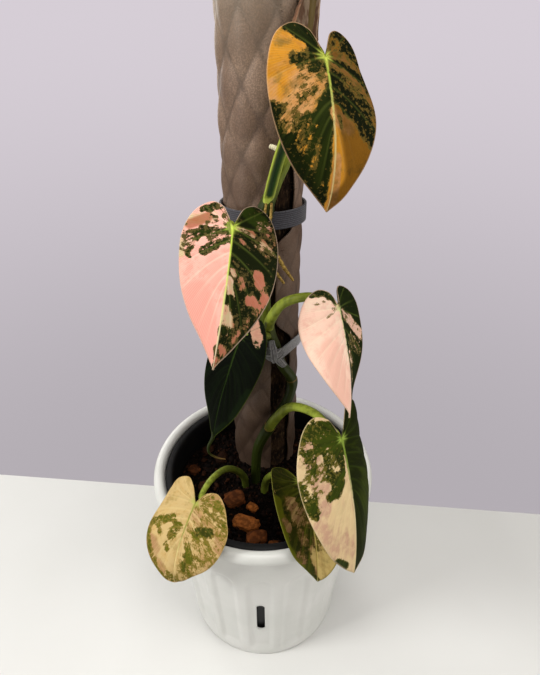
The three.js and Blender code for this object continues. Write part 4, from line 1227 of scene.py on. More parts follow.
def leaf_half(index, hand, markings):
    """Points and painted numbers of the left half (hand 0) or the right one (hand 1)."""
    leaf = LEAVES[index]
    width, length = leaf["half_width"][hand], leaf["length"]
    across = (1 if hand else -1) * across_flat * width
    # The left half is moved off 0 by a hair, so that its first column counts as left.
    points, normals, _ = leaf_surface(leaf)(across - 1e-9 * (1 - hand), along_flat)

    lines = [np.hypot((across_flat - x) * width, (along_flat - y) * length) for x, y in vein_lines]
    nearest = np.minimum.reduce(lines)
    vein = bell(nearest, VEIN_WIDTH * (1 - 0.7 * outward) + FINEST_WIDTH) * smoothstep(outward, 1.0, 0.9)
    midrib_width = MIDRIB_WIDTH * (1 - 0.8 * np.clip(along_flat, 0, 1)) + FINEST_WIDTH
    midrib = bell(across, midrib_width) * smoothstep(along_flat, -0.02, 0.01)
    flat = np.stack([across_flat * width, along_flat * length], axis=-1)
    margin_line = outline_at(np.linspace(0, 1, MARGIN_STEPS)) * [width, length]
    to_margin = np.array([[np.hypot(*(margin_line - p).T).min() for p in row] for row in flat])
    margin = bell(to_margin, MARGIN_WIDTH)

    inside = smoothstep(outward, 0, 0.2) * smoothstep(outward, 1.0, 0.8)
    ripple = np.sin(2 * math.pi * WAVES_PER_SIDE * down_margin + hand)[:, None] * outward**2
    lift = leaf["wave"] * ripple * smoothstep(edge_x, 0, 0.3)
    lift = lift + QUILT_HEIGHT * (1 - bell(nearest, QUILT_WIDTH)) * inside
    upper = lift - VEIN_DEPTH[0] * vein - MIDRIB_DEPTH[0] * midrib - MARGIN_ROUNDING * margin
    lower = lift - VEIN_DEPTH[1] * vein - MIDRIB_DEPTH[1] * midrib + MARGIN_ROUNDING * margin
    heights = (upper, lower - BLADE_THICKNESS)
    points = np.concatenate([(points + normals * h[..., None]).reshape(-1, 3) for h in heights])

    to_stalk = bell(np.hypot(across, along_flat * length), SINUS_WIDTH)
    own_noise = 0 * across + NOISE_APART[0] * hand + NOISE_APART[1] * index
    arc = np.cumsum(np.hypot(*(np.diff(edge, axis=0, prepend=edge[:1]) * [width, length]).T))
    fields = {key: paint(*markings[key], leaf, across, along_flat) for key in ("green", "warm", "shade")}
    fields |= {
        "vein": vein,
        "midrib": midrib,
        "margin": margin,
        "sinus": to_stalk * (0.45 + 0.55 * np.maximum(vein, midrib)),
        "vein_place": np.stack([across_flat * width, arc[:, None] + 0 * outward, own_noise], axis=-1),
        "flat_place": np.stack([across, along_flat * length, own_noise], axis=-1),
    }
    # The two faces of the blade carry the same numbers, and one more says which face it is.
    numbers = {"under": np.repeat([0.0, 1.0], across.size)}
    for key, values in fields.items():
        numbers[key] = np.concatenate([values.reshape(across.size, *values.shape[2:])] * 2)
    return points, numbers


def leaf_mesh(index, markings):
    """Points, faces and painted numbers of one blade."""
    left, left_numbers = leaf_half(index, 0, markings)
    right, right_numbers = leaf_half(index, 1, markings)
    faces = two_sheets(BLADE_ROWS + 1, BLADE_COLUMNS + 1)
    points, faces = gather([(left, [face[::-1] for face in faces]), (right, faces)])
    numbers = {key: np.concatenate([left_numbers[key], right_numbers[key]]) for key in left_numbers}
    return points, faces, numbers


# %% [markdown]
# A melanochrysum leaf is covered with tiny domed cells that give it a velvet look: a soft sheen and
# no hard highlight. The green part is dark with paler veins. The pale part holds no green at all,
# so it shows pink, salmon, ochre or cream, and the veins in it are paler still.

# %% Leaf material
# The sizes of the finest flecks and of the ribs in millimetres, given and not measured.
FLECK_MM = 2.2
FLECK_ROUGHNESS = 0.66
RIB_MM = 1.4
CONTRAST = 1.3
SHEEN_GREEN = "#9aa65c"
UNDERSIDE = "#8f8a5f"
UNDERSIDE_VEIN = "#b7ad7a"


def leaf_skin(
    name, dark, green, olive, pale, second, blush, deep, vein_green, vein_pale, star, margin, cloud,
    star_mm=45, vein_show=0.3, fleck_share=0.62,
):
    """Velvet leaf skin, from the numbers painted on the blade. cloud says how far olive shows through
    the pale part, 0 to 1."""
    material, tree, shader = start_material(
        name,
        Specular_IOR_Level=0.06,
        Sheen_Weight=0.02,
        Sheen_Roughness=0.4,
        Sheen_Tint=linear(SHEEN_GREEN),
        IOR=1.45,
    )
    along_veins = add(tree, "vector", "vein_place")
    flat = add(tree, "vector", "flat_place")
    painted = ("green", "warm", "shade", "vein", "midrib", "margin", "sinus", "under")
    mesh = {key: add(tree, "number", key) for key in painted}

    def flecks(size_mm, stretch, detail=5, seed=0):
        """Noise about 0 in the leaf's own coordinates. It runs along the side veins if stretched."""
        scale = (1 / (size_mm * stretch), 1 / size_mm, 1)
        moved = add(tree, "mapping", along_veins if stretch > 1 else flat, scale, [seed] * 3)
        return add(tree, "minus", add(tree, "noise", moved, 1, detail, FLECK_ROUGHNESS), 0.5)

    def total(*terms):
        """The sum of some numbers, each given alone or with its factor."""
        result = 0
        for term in terms:
            value, factor = term if isinstance(term, tuple) else (term, 1)
            scaled = value if factor == 1 else add(tree, "times", value, factor)
            result = add(tree, "plus", scaled, result)
        return result

    def over(below, colour, value, *limits):
        """A colour laid over another, as far as value is eased between its limits."""
        return add(tree, "blend", add(tree, "ease", value, *limits), below, colour)

    broad = flecks(8, 2.2, detail=2)
    fine = flecks(FLECK_MM, 1.8)
    spots = flecks(3.4, 1, detail=7, seed=3)
    base = total((mesh["green"], CONTRAST), 0.5 - 0.5 * CONTRAST)
    amount = total(base, (spots, 2.1), (fine, 1.2), (broad, 0.8))
    spoiled = total(base, (flecks(2, 1, detail=6, seed=7), 2.6), (broad, 1))

    # The green part: dark to light green by shade, which is partly painted shade, its veins, and olive where
    # it is spoiled.
    leaf_green = over(dark, green, total(mesh["shade"], (broad, 1.2)), 0.15, 0.85)
    leaf_green = add(tree, "blend", add(tree, "times", mesh["vein"], 0.3), leaf_green, vein_green)
    leaf_green = over(leaf_green, olive, spoiled, 0.78, 0.6, 0, fleck_share)

    # The pale part: two pale colours, a blush, olive clouds, fine ribs and veins, and deep where shade is
    # low, which is painted shade on halves turned from the light and a few brown patches.
    ribs = add(tree, "sine", total((add(tree, "y of", along_veins), 2 * math.pi / RIB_MM), (broad, 7)))
    streaks = total(flecks(5, 1, detail=4, seed=5), (broad, 0.5))
    streaks = add(tree, "ease", streaks, -0.06, 0.16, 0, 0.5)
    rosy = add(tree, "ease", mesh["warm"], -0.3, -1.3, 0, 0.5)
    leaf_pale = over(pale, second, total(mesh["warm"], (broad, 2), (fine, 1)), 0.1, 0.9)
    leaf_pale = add(tree, "blend", add(tree, "larger", streaks, rosy), leaf_pale, blush)
    clouds = total(flecks(9, 1, detail=5, seed=9), (broad, 0.3))
    leaf_pale = over(leaf_pale, olive, clouds, -0.02, 0.18, 0, cloud)
    leaf_pale = over(leaf_pale, vein_pale, ribs, -1, 1, 0, 0.4 * vein_show)
    leaf_pale = add(tree, "blend", add(tree, "times", mesh["vein"], vein_show), leaf_pale, vein_pale)
    leaf_pale = over(leaf_pale, deep, mesh["shade"], 0.3, -0.1, 0, 0.78)

    # Both, with a half tone between them, and then midrib, stalk star, margin and underside.
    tone = over(leaf_pale, add(tree, "blend", 0.5, leaf_pale, olive), amount, 0.33, 0.46)
    tone = over(tone, leaf_green, amount, 0.47, 0.53)
    midrib_tone = over(star, vein_pale, add(tree, "y of", flat), 8, star_mm)
    tone = over(tone, midrib_tone, mesh["midrib"], 0.25, 0.9, 0, 0.85)
    tone = over(tone, star, mesh["sinus"], 0.15, 0.95, 0, 0.92)
    tone = over(tone, margin, mesh["margin"], 0.35, 0.85, 0, 0.55)
    under = add(tree, "blend", 0.42, tone, UNDERSIDE)
    under = add(tree, "blend", add(tree, "times", mesh["vein"], 0.5), under, UNDERSIDE_VEIN)
    tone = add(tree, "blend", mesh["under"], tone, under)

    # The velvet cells are far under 0.1 mm, so they are drawn as a soft 0.5 mm grain.
    cells = grain(tree, 0.5, detail=2)
    dress(tree, shader, tone, total((ribs, 0.35), cells), 0.09, 0.8)
    tree.links.new(add(tree, "ease", cells, 0.3, 0.7, 0.58, 0.74), shader.inputs["Roughness"])
    return material


# %% [markdown]
# Now each leaf gets its own markings. A stroke is: start across and along, end across and along,
# radius in millimetres, and value. Across runs from -1 at the left margin to 1 at the right, and
# along from 0 at the stalk to 1 at the tip. green is 1 for solid green and 0 for none, warm mixes
# the second pale colour in, and shade lightens the green. A low shade is partly the leaf's own darker
# tone and partly painted shade: on halves that turn from the light it darkens the green and turns
# the pale part to its deep colour.

# %% Leaf markings
MARKINGS = {
    1: dict(
        green=(
            (0.86, 0.8),
            [
                (-1.0, -0.1, -0.92, 0.12, 6.5, 0.04), (-0.75, -0.12, -0.78, 0.14, 7.5, 0.02),
                (-0.45, -0.04, -0.6, 0.06, 3.6, 0.1), (-0.55, -0.18, -0.3, -0.135, 3.4, 0.86),
                (-0.3, -0.14, -0.06, -0.05, 4.0, 1.0), (-0.5, 0.02, -0.08, 0.07, 4.0, 0.66),
                (-0.12, 0.13, -0.36, 0.17, 3.0, 0.46), (-0.4, 0.14, -0.5, 0.2, 4.4, 0.34),
                (-0.5, 0.22, -0.72, 0.36, 4.8, 0.5), (-0.64, 0.26, -0.7, 0.34, 2.0, 0.34),
                (-0.14, 0.19, -0.5, 0.33, 1.5, 0.28), (-0.3, 0.27, -0.36, 0.31, 1.8, 0.36),
                (-0.5, 0.36, -0.5, 0.52, 4.0, 0.62), (-0.22, 0.5, -0.24, 0.56, 2.2, 0.52),
                (-0.32, 0.6, -0.34, 0.64, 1.6, 0.5), (-0.12, 0.3, -0.12, 0.7, 3.0, 1.05),
                (0.05, -0.05, 0.28, -0.1, 4.4, 0.55), (0.12, -0.01, 0.5, -0.03, 1.8, 0.38),
                (0.5, -0.03, 0.85, 0.02, 2.2, 0.38), (0.08, 0.05, 0.4, 0.08, 1.5, 0.42),
                (0.4, 0.08, 0.7, 0.15, 2.8, 0.38), (0.7, 0.15, 0.97, 0.27, 2.6, 0.42),
                (0.35, 0.16, 0.7, 0.28, 4.0, 0.68), (0.85, 0.34, 0.93, 0.42, 2.4, 0.52),
                (0.04, 0.33, 0.14, 0.4, 3.0, -0.1), (0.2, 0.44, 0.36, 0.53, 5.4, -0.2),
                (0.12, 0.5, 0.12, 0.92, 4.6, -0.2), (0.4, 0.6, 0.6, 0.66, 6.4, -0.2),
                (0.3, 0.68, 0.3, 0.8, 8.4, -0.2), (0.1, 0.36, 0.14, 0.42, 1.4, 0.66),
                (0.05, 0.92, 0.03, 1.0, 2.6, 0.0),
            ],
        ),
        warm=(
            (0.2, -0.05),
            [
                (-0.4, 0.16, -0.72, 0.36, 7.0, 0.95), (-0.3, 0.1, -0.1, 0.14, 4.0, 0.7),
                (-0.95, 0.15, -0.97, 0.35, 3.0, 0.9), (0.0, 0.35, 0.3, 0.42, 4.0, 0.8),
                (0.05, 0.6, 0.04, 0.95, 2.4, 0.8), (0.1, 0.0, 0.7, 0.1, 8.0, 0.9),
                (0.4, 0.1, 0.9, 0.3, 7.0, 0.8),
            ],
        ),
        shade=((0.35, -0.1), [(-0.3, 0.3, -0.1, 0.7, 8.0, 0.6), (-0.6, -0.16, -0.1, -0.1, 5, 0.4)]),
    ),
    2: dict(
        green=(
            (-0.35, 0.8),
            [
                (0.2, 0.24, 0.4, 0.3, 6.0, 0.72), (0.5, 0.52, 0.2, 0.8, 6.0, 0.7),
                (0.35, -0.12, 0.5, -0.08, 5.0, 1.05), (0.4, 0.1, 0.8, 0.3, 3.0, 0.98),
                (-0.62, -0.14, -0.58, -0.15, 2.1, 0.68), (-0.48, -0.15, -0.36, -0.16, 3.1, 0.7),
                (-0.26, -0.17, -0.24, -0.16, 2.2, 0.64), (-0.42, -0.08, -0.36, -0.07, 2.4, 0.68),
                (-0.5, -0.04, -0.3, -0.055, 1.6, 0.58), (-0.22, -0.14, -0.1, -0.03, 2.9, 0.55),
                (-0.78, 0.06, -0.58, 0.02, 3.4, 0.68), (-0.58, 0.02, -0.34, 0.02, 3.2, 0.7),
                (-0.3, 0.03, -0.1, 0.04, 3.0, 0.62), (-0.72, 0.08, -0.84, 0.16, 3.0, 0.7),
                (-0.85, 0.2, -0.78, 0.22, 1.6, 0.66), (-0.92, 0.0, -0.84, 0.08, 3.6, 0.52),
                (-0.98, 0.06, -0.95, 0.15, 3.0, 0.5), (-0.1, 0.09, -0.32, 0.12, 3.4, 0.66),
                (-0.32, 0.13, -0.52, 0.17, 3.6, 0.72), (-0.1, 0.06, -0.44, 0.085, 2.2, 0.58),
                (0.35, -0.13, 0.6, -0.09, 3.2, 0.95), (0.6, -0.06, 0.92, 0.02, 3.6, 0.62),
                (0.1, 0.0, 0.42, 0.01, 1.3, 0.36), (0.42, 0.01, 0.68, 0.055, 1.8, 0.42),
                (0.68, 0.055, 0.9, 0.12, 1.3, 0.42), (0.2, 0.08, 0.5, 0.15, 1.0, 0.45),
                (0.5, 0.06, 0.78, 0.14, 2.6, 0.6), (0.15, 0.16, 0.6, 0.2, 4.0, 0.93),
                (0.62, 0.3, 0.67, 0.36, 2.7, 0.0), (0.5, 0.49, 0.55, 0.48, 2.6, 0.05),
                (0.74, 0.44, 0.8, 0.46, 2.3, 0.12), (0.62, 0.51, 0.76, 0.51, 1.9, 0.3),
                (0.62, 0.43, 0.66, 0.44, 1.6, 0.9), (0.1, 0.31, 0.14, 0.33, 1.5, 0.15),
                (0.28, 0.36, 0.32, 0.4, 2.0, 0.36), (0.05, 0.37, 0.12, 0.5, 2.1, 0.2),
                (0.12, 0.5, 0.18, 0.56, 2.4, 0.9), (0.05, 0.58, 0.14, 0.68, 2.9, 0.14),
                (0.24, 0.68, 0.26, 0.76, 1.2, 0.3), (0.55, 0.62, 0.3, 0.78, 1.5, 0.5),
                (0.05, 0.72, 0.2, 0.74, 3.0, 0.74), (0.08, 0.84, 0.14, 0.87, 1.9, 0.12),
                (-0.02, 0.84, 0.0, 0.93, 1.7, 0.66), (0.04, 0.92, 0.0, 0.98, 2.4, 0.44),
            ],
        ),
        warm=(
            (-0.2, 0.4),
            [
                (-0.95, -0.06, -0.4, -0.08, 3.4, 0.75), (-1, 0.1, -0.98, 0.2, 2.6, 0.9),
                (0.6, 0.3, 0.75, 0.46, 7.0, 0.0), (0.5, 0.48, 0.56, 0.46, 4.0, 0.0),
                (0.05, 0.35, 0.16, 0.72, 4.0, 1.0), (0.1, 0.0, 0.9, 0.12, 3.0, 0.9),
                (-0.55, 0.5, -0.25, 0.85, 9.0, -1.3), (-0.3, 0.25, -0.2, 0.4, 5.0, -0.9),
            ],
        ),
        shade=(
            (0.4, -0.3),
            [(0.3, -0.14, 0.6, -0.08, 5, 0.8), (-0.82, -0.03, -0.5, -0.08, 3, -0.1),
             (0.05, 0.34, 0.12, 0.7, 4, 0.25), (0.1, 0.0, 0.9, 0.12, 3, 0.15)],
        ),
    ),
    3: dict(
        green=(
            (-0.35, 1.02),
            [
                (-0.62, -0.17, -0.4, -0.18, 2.3, 0.86), (-0.42, -0.15, -0.24, -0.13, 3.0, 0.85),
                (-0.24, -0.15, -0.1, -0.06, 2.9, 0.8), (-0.2, 0.02, -0.42, 0.06, 1.3, 0.5),
                (-0.12, 0.0, -0.25, -0.01, 1.4, 0.46), (-0.6, -0.1, -0.4, -0.1, 2.2, 0.36),
                (0.2, 0.06, 0.55, 0.14, 3.2, 0.42), (0.55, 0.14, 0.85, 0.26, 4.2, 0.3),
                (0.4, 0.3, 0.7, 0.4, 5.0, 0.64), (0.2, 0.44, 0.3, 0.52, 3.6, 0.5),
                (0.3, 0.6, 0.28, 0.66, 2.6, 0.56),
                (-0.05, -0.12, -0.04, -0.07, 1.6, 0.2),
            ],
        ),
        warm=(
            (0.2, 0.6),
            [
                (-0.7, -0.12, -0.3, -0.08, 4.5, 0.85), (-0.15, 0.1, -0.08, 0.5, 3.0, 0.7),
                (-0.5, 0.35, -0.3, 0.8, 8.0, -1.2),
            ],
        ),
        shade=((0.4, 0.1), [(0.3, 0.25, 0.4, 0.6, 6, 0.3)]),
    ),
    4: dict(
        green=(
            (-0.2, 1.3),
            [
                (-0.85, -0.1, -0.82, 0.3, 8.4, 0.64), (-0.5, -0.16, -0.5, 0.24, 8.4, 0.72),
                (-0.26, -0.14, -0.28, 0.2, 6.4, 0.78), (-0.08, -0.1, -0.1, 0.06, 4.4, 0.9),
                (-0.1, 0.06, -0.17, 0.2, 3.6, 0.84), (-0.3, 0.2, -0.34, 0.3, 4.0, 0.76),
                (-0.2, 0.26, -0.34, 0.3, 2.6, 0.85), (-0.4, 0.29, -0.5, 0.31, 2.2, 0.8),
                (-0.86, 0.3, -0.82, 0.37, 2.8, 0.82), (-0.95, 0.18, -0.93, 0.3, 2.0, 0.7),
                (-0.72, -0.06, -0.66, -0.05, 1.2, 0.14), (-0.55, 0.04, -0.56, 0.07, 2.2, 0.2),
                (-0.38, -0.02, -0.36, 0.0, 1.4, 0.3), (-0.3, 0.1, -0.24, 0.16, 1.6, 0.4),
                (-0.64, 0.19, -0.54, 0.23, 3.2, 0.16), (-0.66, 0.26, -0.68, 0.36, 2.8, 0.22),
                (-0.97, 0.0, -0.9, 0.1, 3.0, 0.08), (-0.84, 0.12, -0.76, 0.2, 3.4, 0.46),
                (-0.55, 0.1, -0.6, 0.16, 3.2, 0.5), (-0.9, -0.02, -0.86, 0.0, 1.6, 0.3),
                (-0.35, 0.05, -0.3, 0.14, 3.0, 0.62), (-0.4, -0.2, -0.16, -0.17, 2.4, 0.05),
                (-0.5, 0.76, -0.3, 0.84, 4.0, 1.1), (-0.5, -0.04, -0.15, -0.02, 2.8, 0.95),
            ],
        ),
        warm=(
            (0.35, 0.4),
            [
                (-0.7, -0.07, -0.66, 0.2, 5, 1.6), (-0.62, 0.2, -0.66, 0.34, 4.5, 1.6),
                (-0.8, 0.42, -0.5, 0.66, 4.0, 0.85), (-0.15, 0.3, -0.12, 0.6, 3.0, 0.0),
                (-0.4, 0.38, -0.3, 0.5, 5.0, 0.1), (-0.3, 0.62, -0.1, 0.76, 4.0, 0.8),
            ],
        ),
        shade=((0.45, 0.2), [(-0.5, -0.05, -0.1, 0.0, 5, 0.7), (0.5, 0.3, 0.4, 0.7, 9, 0.45)]),
    ),
    5: dict(
        green=(
            (0.12, 0.43),
            [
                (-0.8, -0.08, -0.5, 0.1, 7.0, -0.1), (-0.04, 0.1, -0.02, 0.8, 2.6, 0.0),
                (-0.85, 0.4, -0.35, 0.24, 3.0, 0.68), (-0.9, 0.5, -0.5, 0.74, 4.6, 0.66),
                (-0.6, 0.78, -0.2, 0.9, 3.4, 0.72),
                (-0.2, 0.27, -0.46, 0.27, 1.8, 0.62), (-0.46, 0.27, -0.66, 0.36, 1.9, 0.7),
                (-0.66, 0.36, -0.5, 0.44, 1.9, 0.6), (-0.16, 0.3, -0.24, 0.42, 3.2, 0.72),
                (-0.3, 0.52, -0.24, 0.56, 2.2, 0.66), (-0.7, 0.62, -0.85, 0.78, 2.5, 0.8),
                (-0.95, 0.5, -0.9, 0.6, 2.6, 0.5), (-0.1, 0.82, -0.04, 0.92, 2.6, 0.66),
                (0.3, -0.08, 0.6, 0.0, 5.4, 0.55), (0.6, -0.1, 0.9, 0.02, 3.4, 0.6),
                (0.36, 0.24, 0.62, 0.2, 3.0, 0.86), (0.3, 0.28, 0.44, 0.3, 3.2, 0.7),
                (0.78, 0.1, 0.92, 0.14, 2.6, 0.5), (0.6, 0.34, 0.72, 0.42, 4.0, 0.52),
                (0.2, 0.46, 0.32, 0.56, 2.8, 0.62), (0.24, 0.56, 0.34, 0.6, 3.0, 0.84),
                (0.2, 0.66, 0.26, 0.76, 2.4, 0.82), (0.4, 0.66, 0.5, 0.56, 2.8, 0.56),
                (0.3, 0.8, 0.2, 0.9, 3.0, 0.6), (0.06, 0.1, 0.12, 0.3, 2.4, 0.34),
            ],
        ),
        warm=(
            (-0.2, 0.4),
            [
                (-0.9, 0.5, -0.5, 0.6, 5.0, 1.0), (-0.9, 0.0, -0.8, 0.1, 3.0, 0.3),
                (-0.5, 0.72, -0.3, 0.8, 5.0, 0.8), (0.0, 0.5, 0.1, 0.75, 4.0, 0.0),
                (-0.9, 0.25, -0.7, 0.4, 5.0, 0.0), (0.4, -0.14, 0.6, -0.12, 4.0, 1.0),
                (0.85, 0.2, 0.9, 0.3, 4.0, 1.0), (0.2, 0.1, 0.5, 0.15, 5.0, 0.7),
            ],
        ),
        shade=((0.6, 0.6), [(0.36, 0.24, 0.62, 0.2, 4, 0.2), (0.5, 0.36, 0.8, 0.44, 5, 1.1)]),
    ),
    6: dict(
        green=(
            (0.86, 0.7),
            [
                (-0.5, 0.2, -0.36, 0.36, 4.6, 0.38), (-0.2, 0.3, -0.16, 0.4, 3.4, 0.5),
                (-0.78, 0.36, -0.72, 0.42, 2.6, 0.3), (-0.35, 0.48, -0.3, 0.56, 3.0, 0.5),
                (-0.12, 0.62, -0.1, 0.7, 2.4, 0.42), (-0.45, 0.66, -0.36, 0.74, 3.0, 0.5),
                (0.1, 0.56, 0.4, 0.66, 5.0, 0.42), (0.12, 0.74, 0.5, 0.78, 6.0, 0.05),
                (0.1, 0.86, 0.24, 0.9, 4.0, 0.08), (0.4, 0.3, 0.6, 0.5, 5.0, 0.5),
            ],
        ),
        warm=((0.9, 0.3), [(0.1, 0.7, 0.4, 0.85, 7.0, 0.0)]),
        shade=(
            (0.3, 0.5),
            [(-0.95, 0.2, -0.9, 0.6, 3.4, 1.2), (-0.85, 0.6, -0.5, 0.8, 3.6, 1.2),
             (0.2, 0.5, 0.5, 0.6, 5, 1.0)],
        ),
    ),
    7: dict(
        green=(
            (1.3, 1.2),
            [(0.35, -0.13, 0.58, -0.06, 4.6, 0.08), (0.55, -0.02, 0.66, 0.0, 2.4, 0.4)],
        ),
        warm=((0.3, 0.3), []),
        shade=((0.35, 0.3), [(0.9, 0.4, 0.6, 0.7, 3.4, 1.2), (0.4, 0.8, 0.0, 0.97, 3.0, 1.2)]),
    ),
}
for index, leaf in MARKINGS.items():
    print("leaf", index, "strokes:", {key: len(strokes) for key, (_, strokes) in leaf.items()})

# %% [markdown]
# The colours of each leaf were read where it shows them plainly. Green, dark and olive are for the
# green part, pale, second, blush and deep for the pale one, star is the spot where the stalk joins,
# and margin is the thin edge. deep is the pale part in painted shade, and a few brown patches. The
# top leaf is ochre, the next two are pink, and the old ones below lean to beige, cream and olive.

# %% Leaf colours
SKINS = {
    1: dict(name="Leaf, green and ochre", dark="#0d1302", green="#262f08", olive="#755f29",
            pale="#cc8b26", second="#c8915a", blush="#b5741c", deep="#573808", vein_green="#6a7430",
            vein_pale="#d9c98a", star="#c8d45c", margin="#c9a27c", cloud=0.75, star_mm=32, vein_show=0.12),
    2: dict(name="Leaf, green and pink", dark="#141a04", green="#2b380b", olive="#7d6a3c",
            pale="#f0ac9d", second="#c4b184", blush="#d97f72", deep="#984f2a", vein_green="#7c8c3c",
            vein_pale="#f3d8c0", star="#cde25c", margin="#e6c6ac", cloud=0.0, star_mm=85,
            vein_show=0.5, fleck_share=0.4),
    3: dict(name="Leaf, green and pale pink", dark="#161f06", green="#2f3d0d", olive="#8a7648",
            pale="#f8cdb8", second="#f6d8c0", blush="#e9a593", deep="#a87058", vein_green="#74863a",
            vein_pale="#f6e0c6", star="#d9dc98", margin="#eccab0", cloud=0.0, vein_show=0.5),
    4: dict(name="Leaf, green and beige", dark="#1a2004", green="#3c480d", olive="#786c2c",
            pale="#dcc192", second="#c59a80", blush="#e4cd9c", deep="#8f7350", vein_green="#425417",
            vein_pale="#e8d8aa", star="#9cb44c", margin="#d9c298", cloud=0.12),
    5: dict(name="Leaf, olive and cream", dark="#363a0c", green="#5e5f17", olive="#8c7434",
            pale="#c6aa74", second="#a67c56", blush="#bf9858", deep="#8a5f36", vein_green="#858a36",
            vein_pale="#e2d094", star="#b3b65c", margin="#c2a468", cloud=0.5),
    6: dict(name="Leaf, olive and tan", dark="#25290a", green="#595c12", olive="#5d4c22",
            pale="#b9a064", second="#74503a", blush="#a0804a", deep="#5c3f22", vein_green="#6c7028",
            vein_pale="#bfae62", star="#7f8a34", margin="#7d7c28", cloud=0.5),
    # Leaf 7 hangs in the shade of leaf 2, and its near-black greens are partly painted shade.
    7: dict(name="Leaf, deep green", dark="#020500", green="#0b1604", olive="#2a3614",
            pale="#cf9c84", second="#d3b08c", blush="#c08470", deep="#8a5f4c", vein_green="#1b290b",
            vein_pale="#22330f", star="#35491a", margin="#4c5a1e", cloud=0.0),
}

# %% Leaves
for index, markings in MARKINGS.items():
    points, faces, numbers = leaf_mesh(index, markings)
    skin = leaf_skin(**SKINS[index])
    new_piece(f"leaf_blade_{index}", points, faces, skin, f"leaf_{index}", [f"leaf_{index}"], numbers)

# %% [markdown]
# ## Stalks
#
# A stalk leaves the stem with a clasping foot, arches out and thickens again just under the blade,
# where it can turn the leaf to the light. It ends in the midrib, so its last two points come from
# the surface of its leaf.

# %% Stalks
STALKS = {
    1: ([(2.6, 3.6, 372), (6.4, -1.2, 390), (13, -7, 414), (22, -14.5, 436)], [2.6, 2.9, 2.8, 2.4]),
    2: ([(1.9, 4.2, 345), (0.5, -4, 352), (-4, -17, 363), (-9.5, -26.5, 371)], [3.2, 3, 2.5, 2.2]),
    3: ([(4.1, 6.2, 290), (6.2, -1.5, 303), (14, -8.5, 318.5), (28, -15, 326.5), (39, -19.4, 327)],
        [3.6, 3.5, 3.1, 2.8, 2.4]),
    4: ([(4, 4.6, 200), (10, -4.5, 220), (19.5, -11, 236), (34, -30, 248), (44, -48, 250.5)],
        [3.6, 3.5, 3.2, 2.9, 2.5]),
    5: ([(-15, -5, 128), (-15, -5, 157), (-25.5, -15, 178), (-35.5, -35, 190), (-41.5, -49, 190)],
        [3, 2.9, 2.6, 2.3, 2.1]),
    6: ([(1, -11, 128), (2, -11, 158), (8.5, -20.5, 178), (17, -32.5, 190), (22, -38.5, 194)],
        [3, 2.9, 2.6, 2.3, 2.1]),
    7: ([(5.4, 6.6, 284), (1.5, -1.5, 290), (-4, -4.4, 292.5), (-9, -3.4, 291.8)], [2.6, 2.4, 2.1, 1.9]),
}
SHEATHED_STALK = 1
SHEATH_SPAN = (0.08, 0.14, 0.5, 0.78)
GROOVE_DEPTH = 0.07
GROOVE_WIDTH = 0.5
CHANNEL_DEPTH = 0.62
CHANNEL_WIDTH = 0.62
WING_HEIGHT = 0.32
# The last points under the blade: this far back along the midrib and down, in millimetres.
UNDER_BLADE = ((2.5, 3.4), (-4, 1.5))


def off_front(angles):
    """How far each angle is from the front of a rod, either way, in radians."""
    return np.minimum(angles, 2 * math.pi - angles)


def round_section(share, angles):
    """A nearly round stalk with a shallow groove on its upper side."""
    return 1 - GROOVE_DEPTH * bell(off_front(angles), GROOVE_WIDTH)


def sheath_share(share):
    """How open the sheath is: it starts with a round lip, and fades out along the stalk."""
    start, full, fade, end = SHEATH_SPAN
    return smoothstep(share, start, full) * (1 - smoothstep(share, fade, end))


def sheath_section(share, angles):
    """A deep channel with a thin wing on either side."""
    off = off_front(angles)
    winged = sheath_share(share)
    wings = WING_HEIGHT * bell(off - 1.0, 0.2) - CHANNEL_DEPTH * bell(off, CHANNEL_WIDTH)
    return 1 + winged * wings - GROOVE_DEPTH * (1 - winged) * bell(off, GROOVE_WIDTH)


for index, (route, radii) in STALKS.items():
    sheathed = index == SHEATHED_STALK
    under, normal, ahead = [v[0] for v in leaf_surface(LEAVES[index])(np.zeros(1), np.zeros(1))]
    route = [*route, *[tuple(under - back * ahead - down * normal) for back, down in UNDER_BLADE]]
    radii = [*radii[:-1], radii[-1] * 0.9, 1.6, 0.7]
    section = sheath_section if sheathed else round_section
    points, faces, shares, turns = sweep(route, radii, sides=32, per_span=12, shape=section)
    off = off_front(turns)
    winged = sheathed * sheath_share(shares)
    lip = sheathed * bell(shares - SHEATH_SPAN[0], 0.04) * (off < 1.5)
    # Painted shade: stalks 5 and 6 darken towards the soil, and the foot of the sheathed stalk darkens at
    # the shaded node.
    shaded = 0.55 * (index in (5, 6)) * smoothstep(shares, 0.75, 0.2)
    foot_unshaded = smoothstep(shares, 0.03, 0.075) if sheathed else 1
    stalk_numbers = {
        "young": (0.88 + 0.12 * np.sin(5 * shares + index) - shaded) * foot_unshaded,
        "scar": 0.8 * bell(shares, 0.05) * (1 < index < 5),
        "wing": np.maximum(winged * bell(off - 1.05, 0.24), lip),
        "channel": winged * np.exp(-((off / (0.1 + 0.84 * winged)) ** 4)),
    }
    name = f"stalk_green_{index}"
    new_piece(name, points, faces, stem_green, "stalk", [f"stalk_{index}"], stalk_numbers)

# %% Drip tip
# The tip of the green leaf is drawn out into a thin curled tail.
DRIP_OFFSETS = [(0, 0, 5), (0, 0, 0), (-3.5, -1, -8), (-3, -1.5, -14), (2.5, -1.5, -18.5), (8, -1, -20.5)]
DRIP_RADII = [0.5, 1.5, 1.1, 0.85, 0.75, 0.4]
DRIP_FLATNESS = 1.5
DRIP_FROM = 0.985
leaf_tip = leaf_surface(LEAVES[7])(np.zeros(1), np.full(1, DRIP_FROM))[0][0]


def drip_section(share, angles):
    return 1 / np.hypot(DRIP_FLATNESS * np.cos(angles), np.sin(angles))


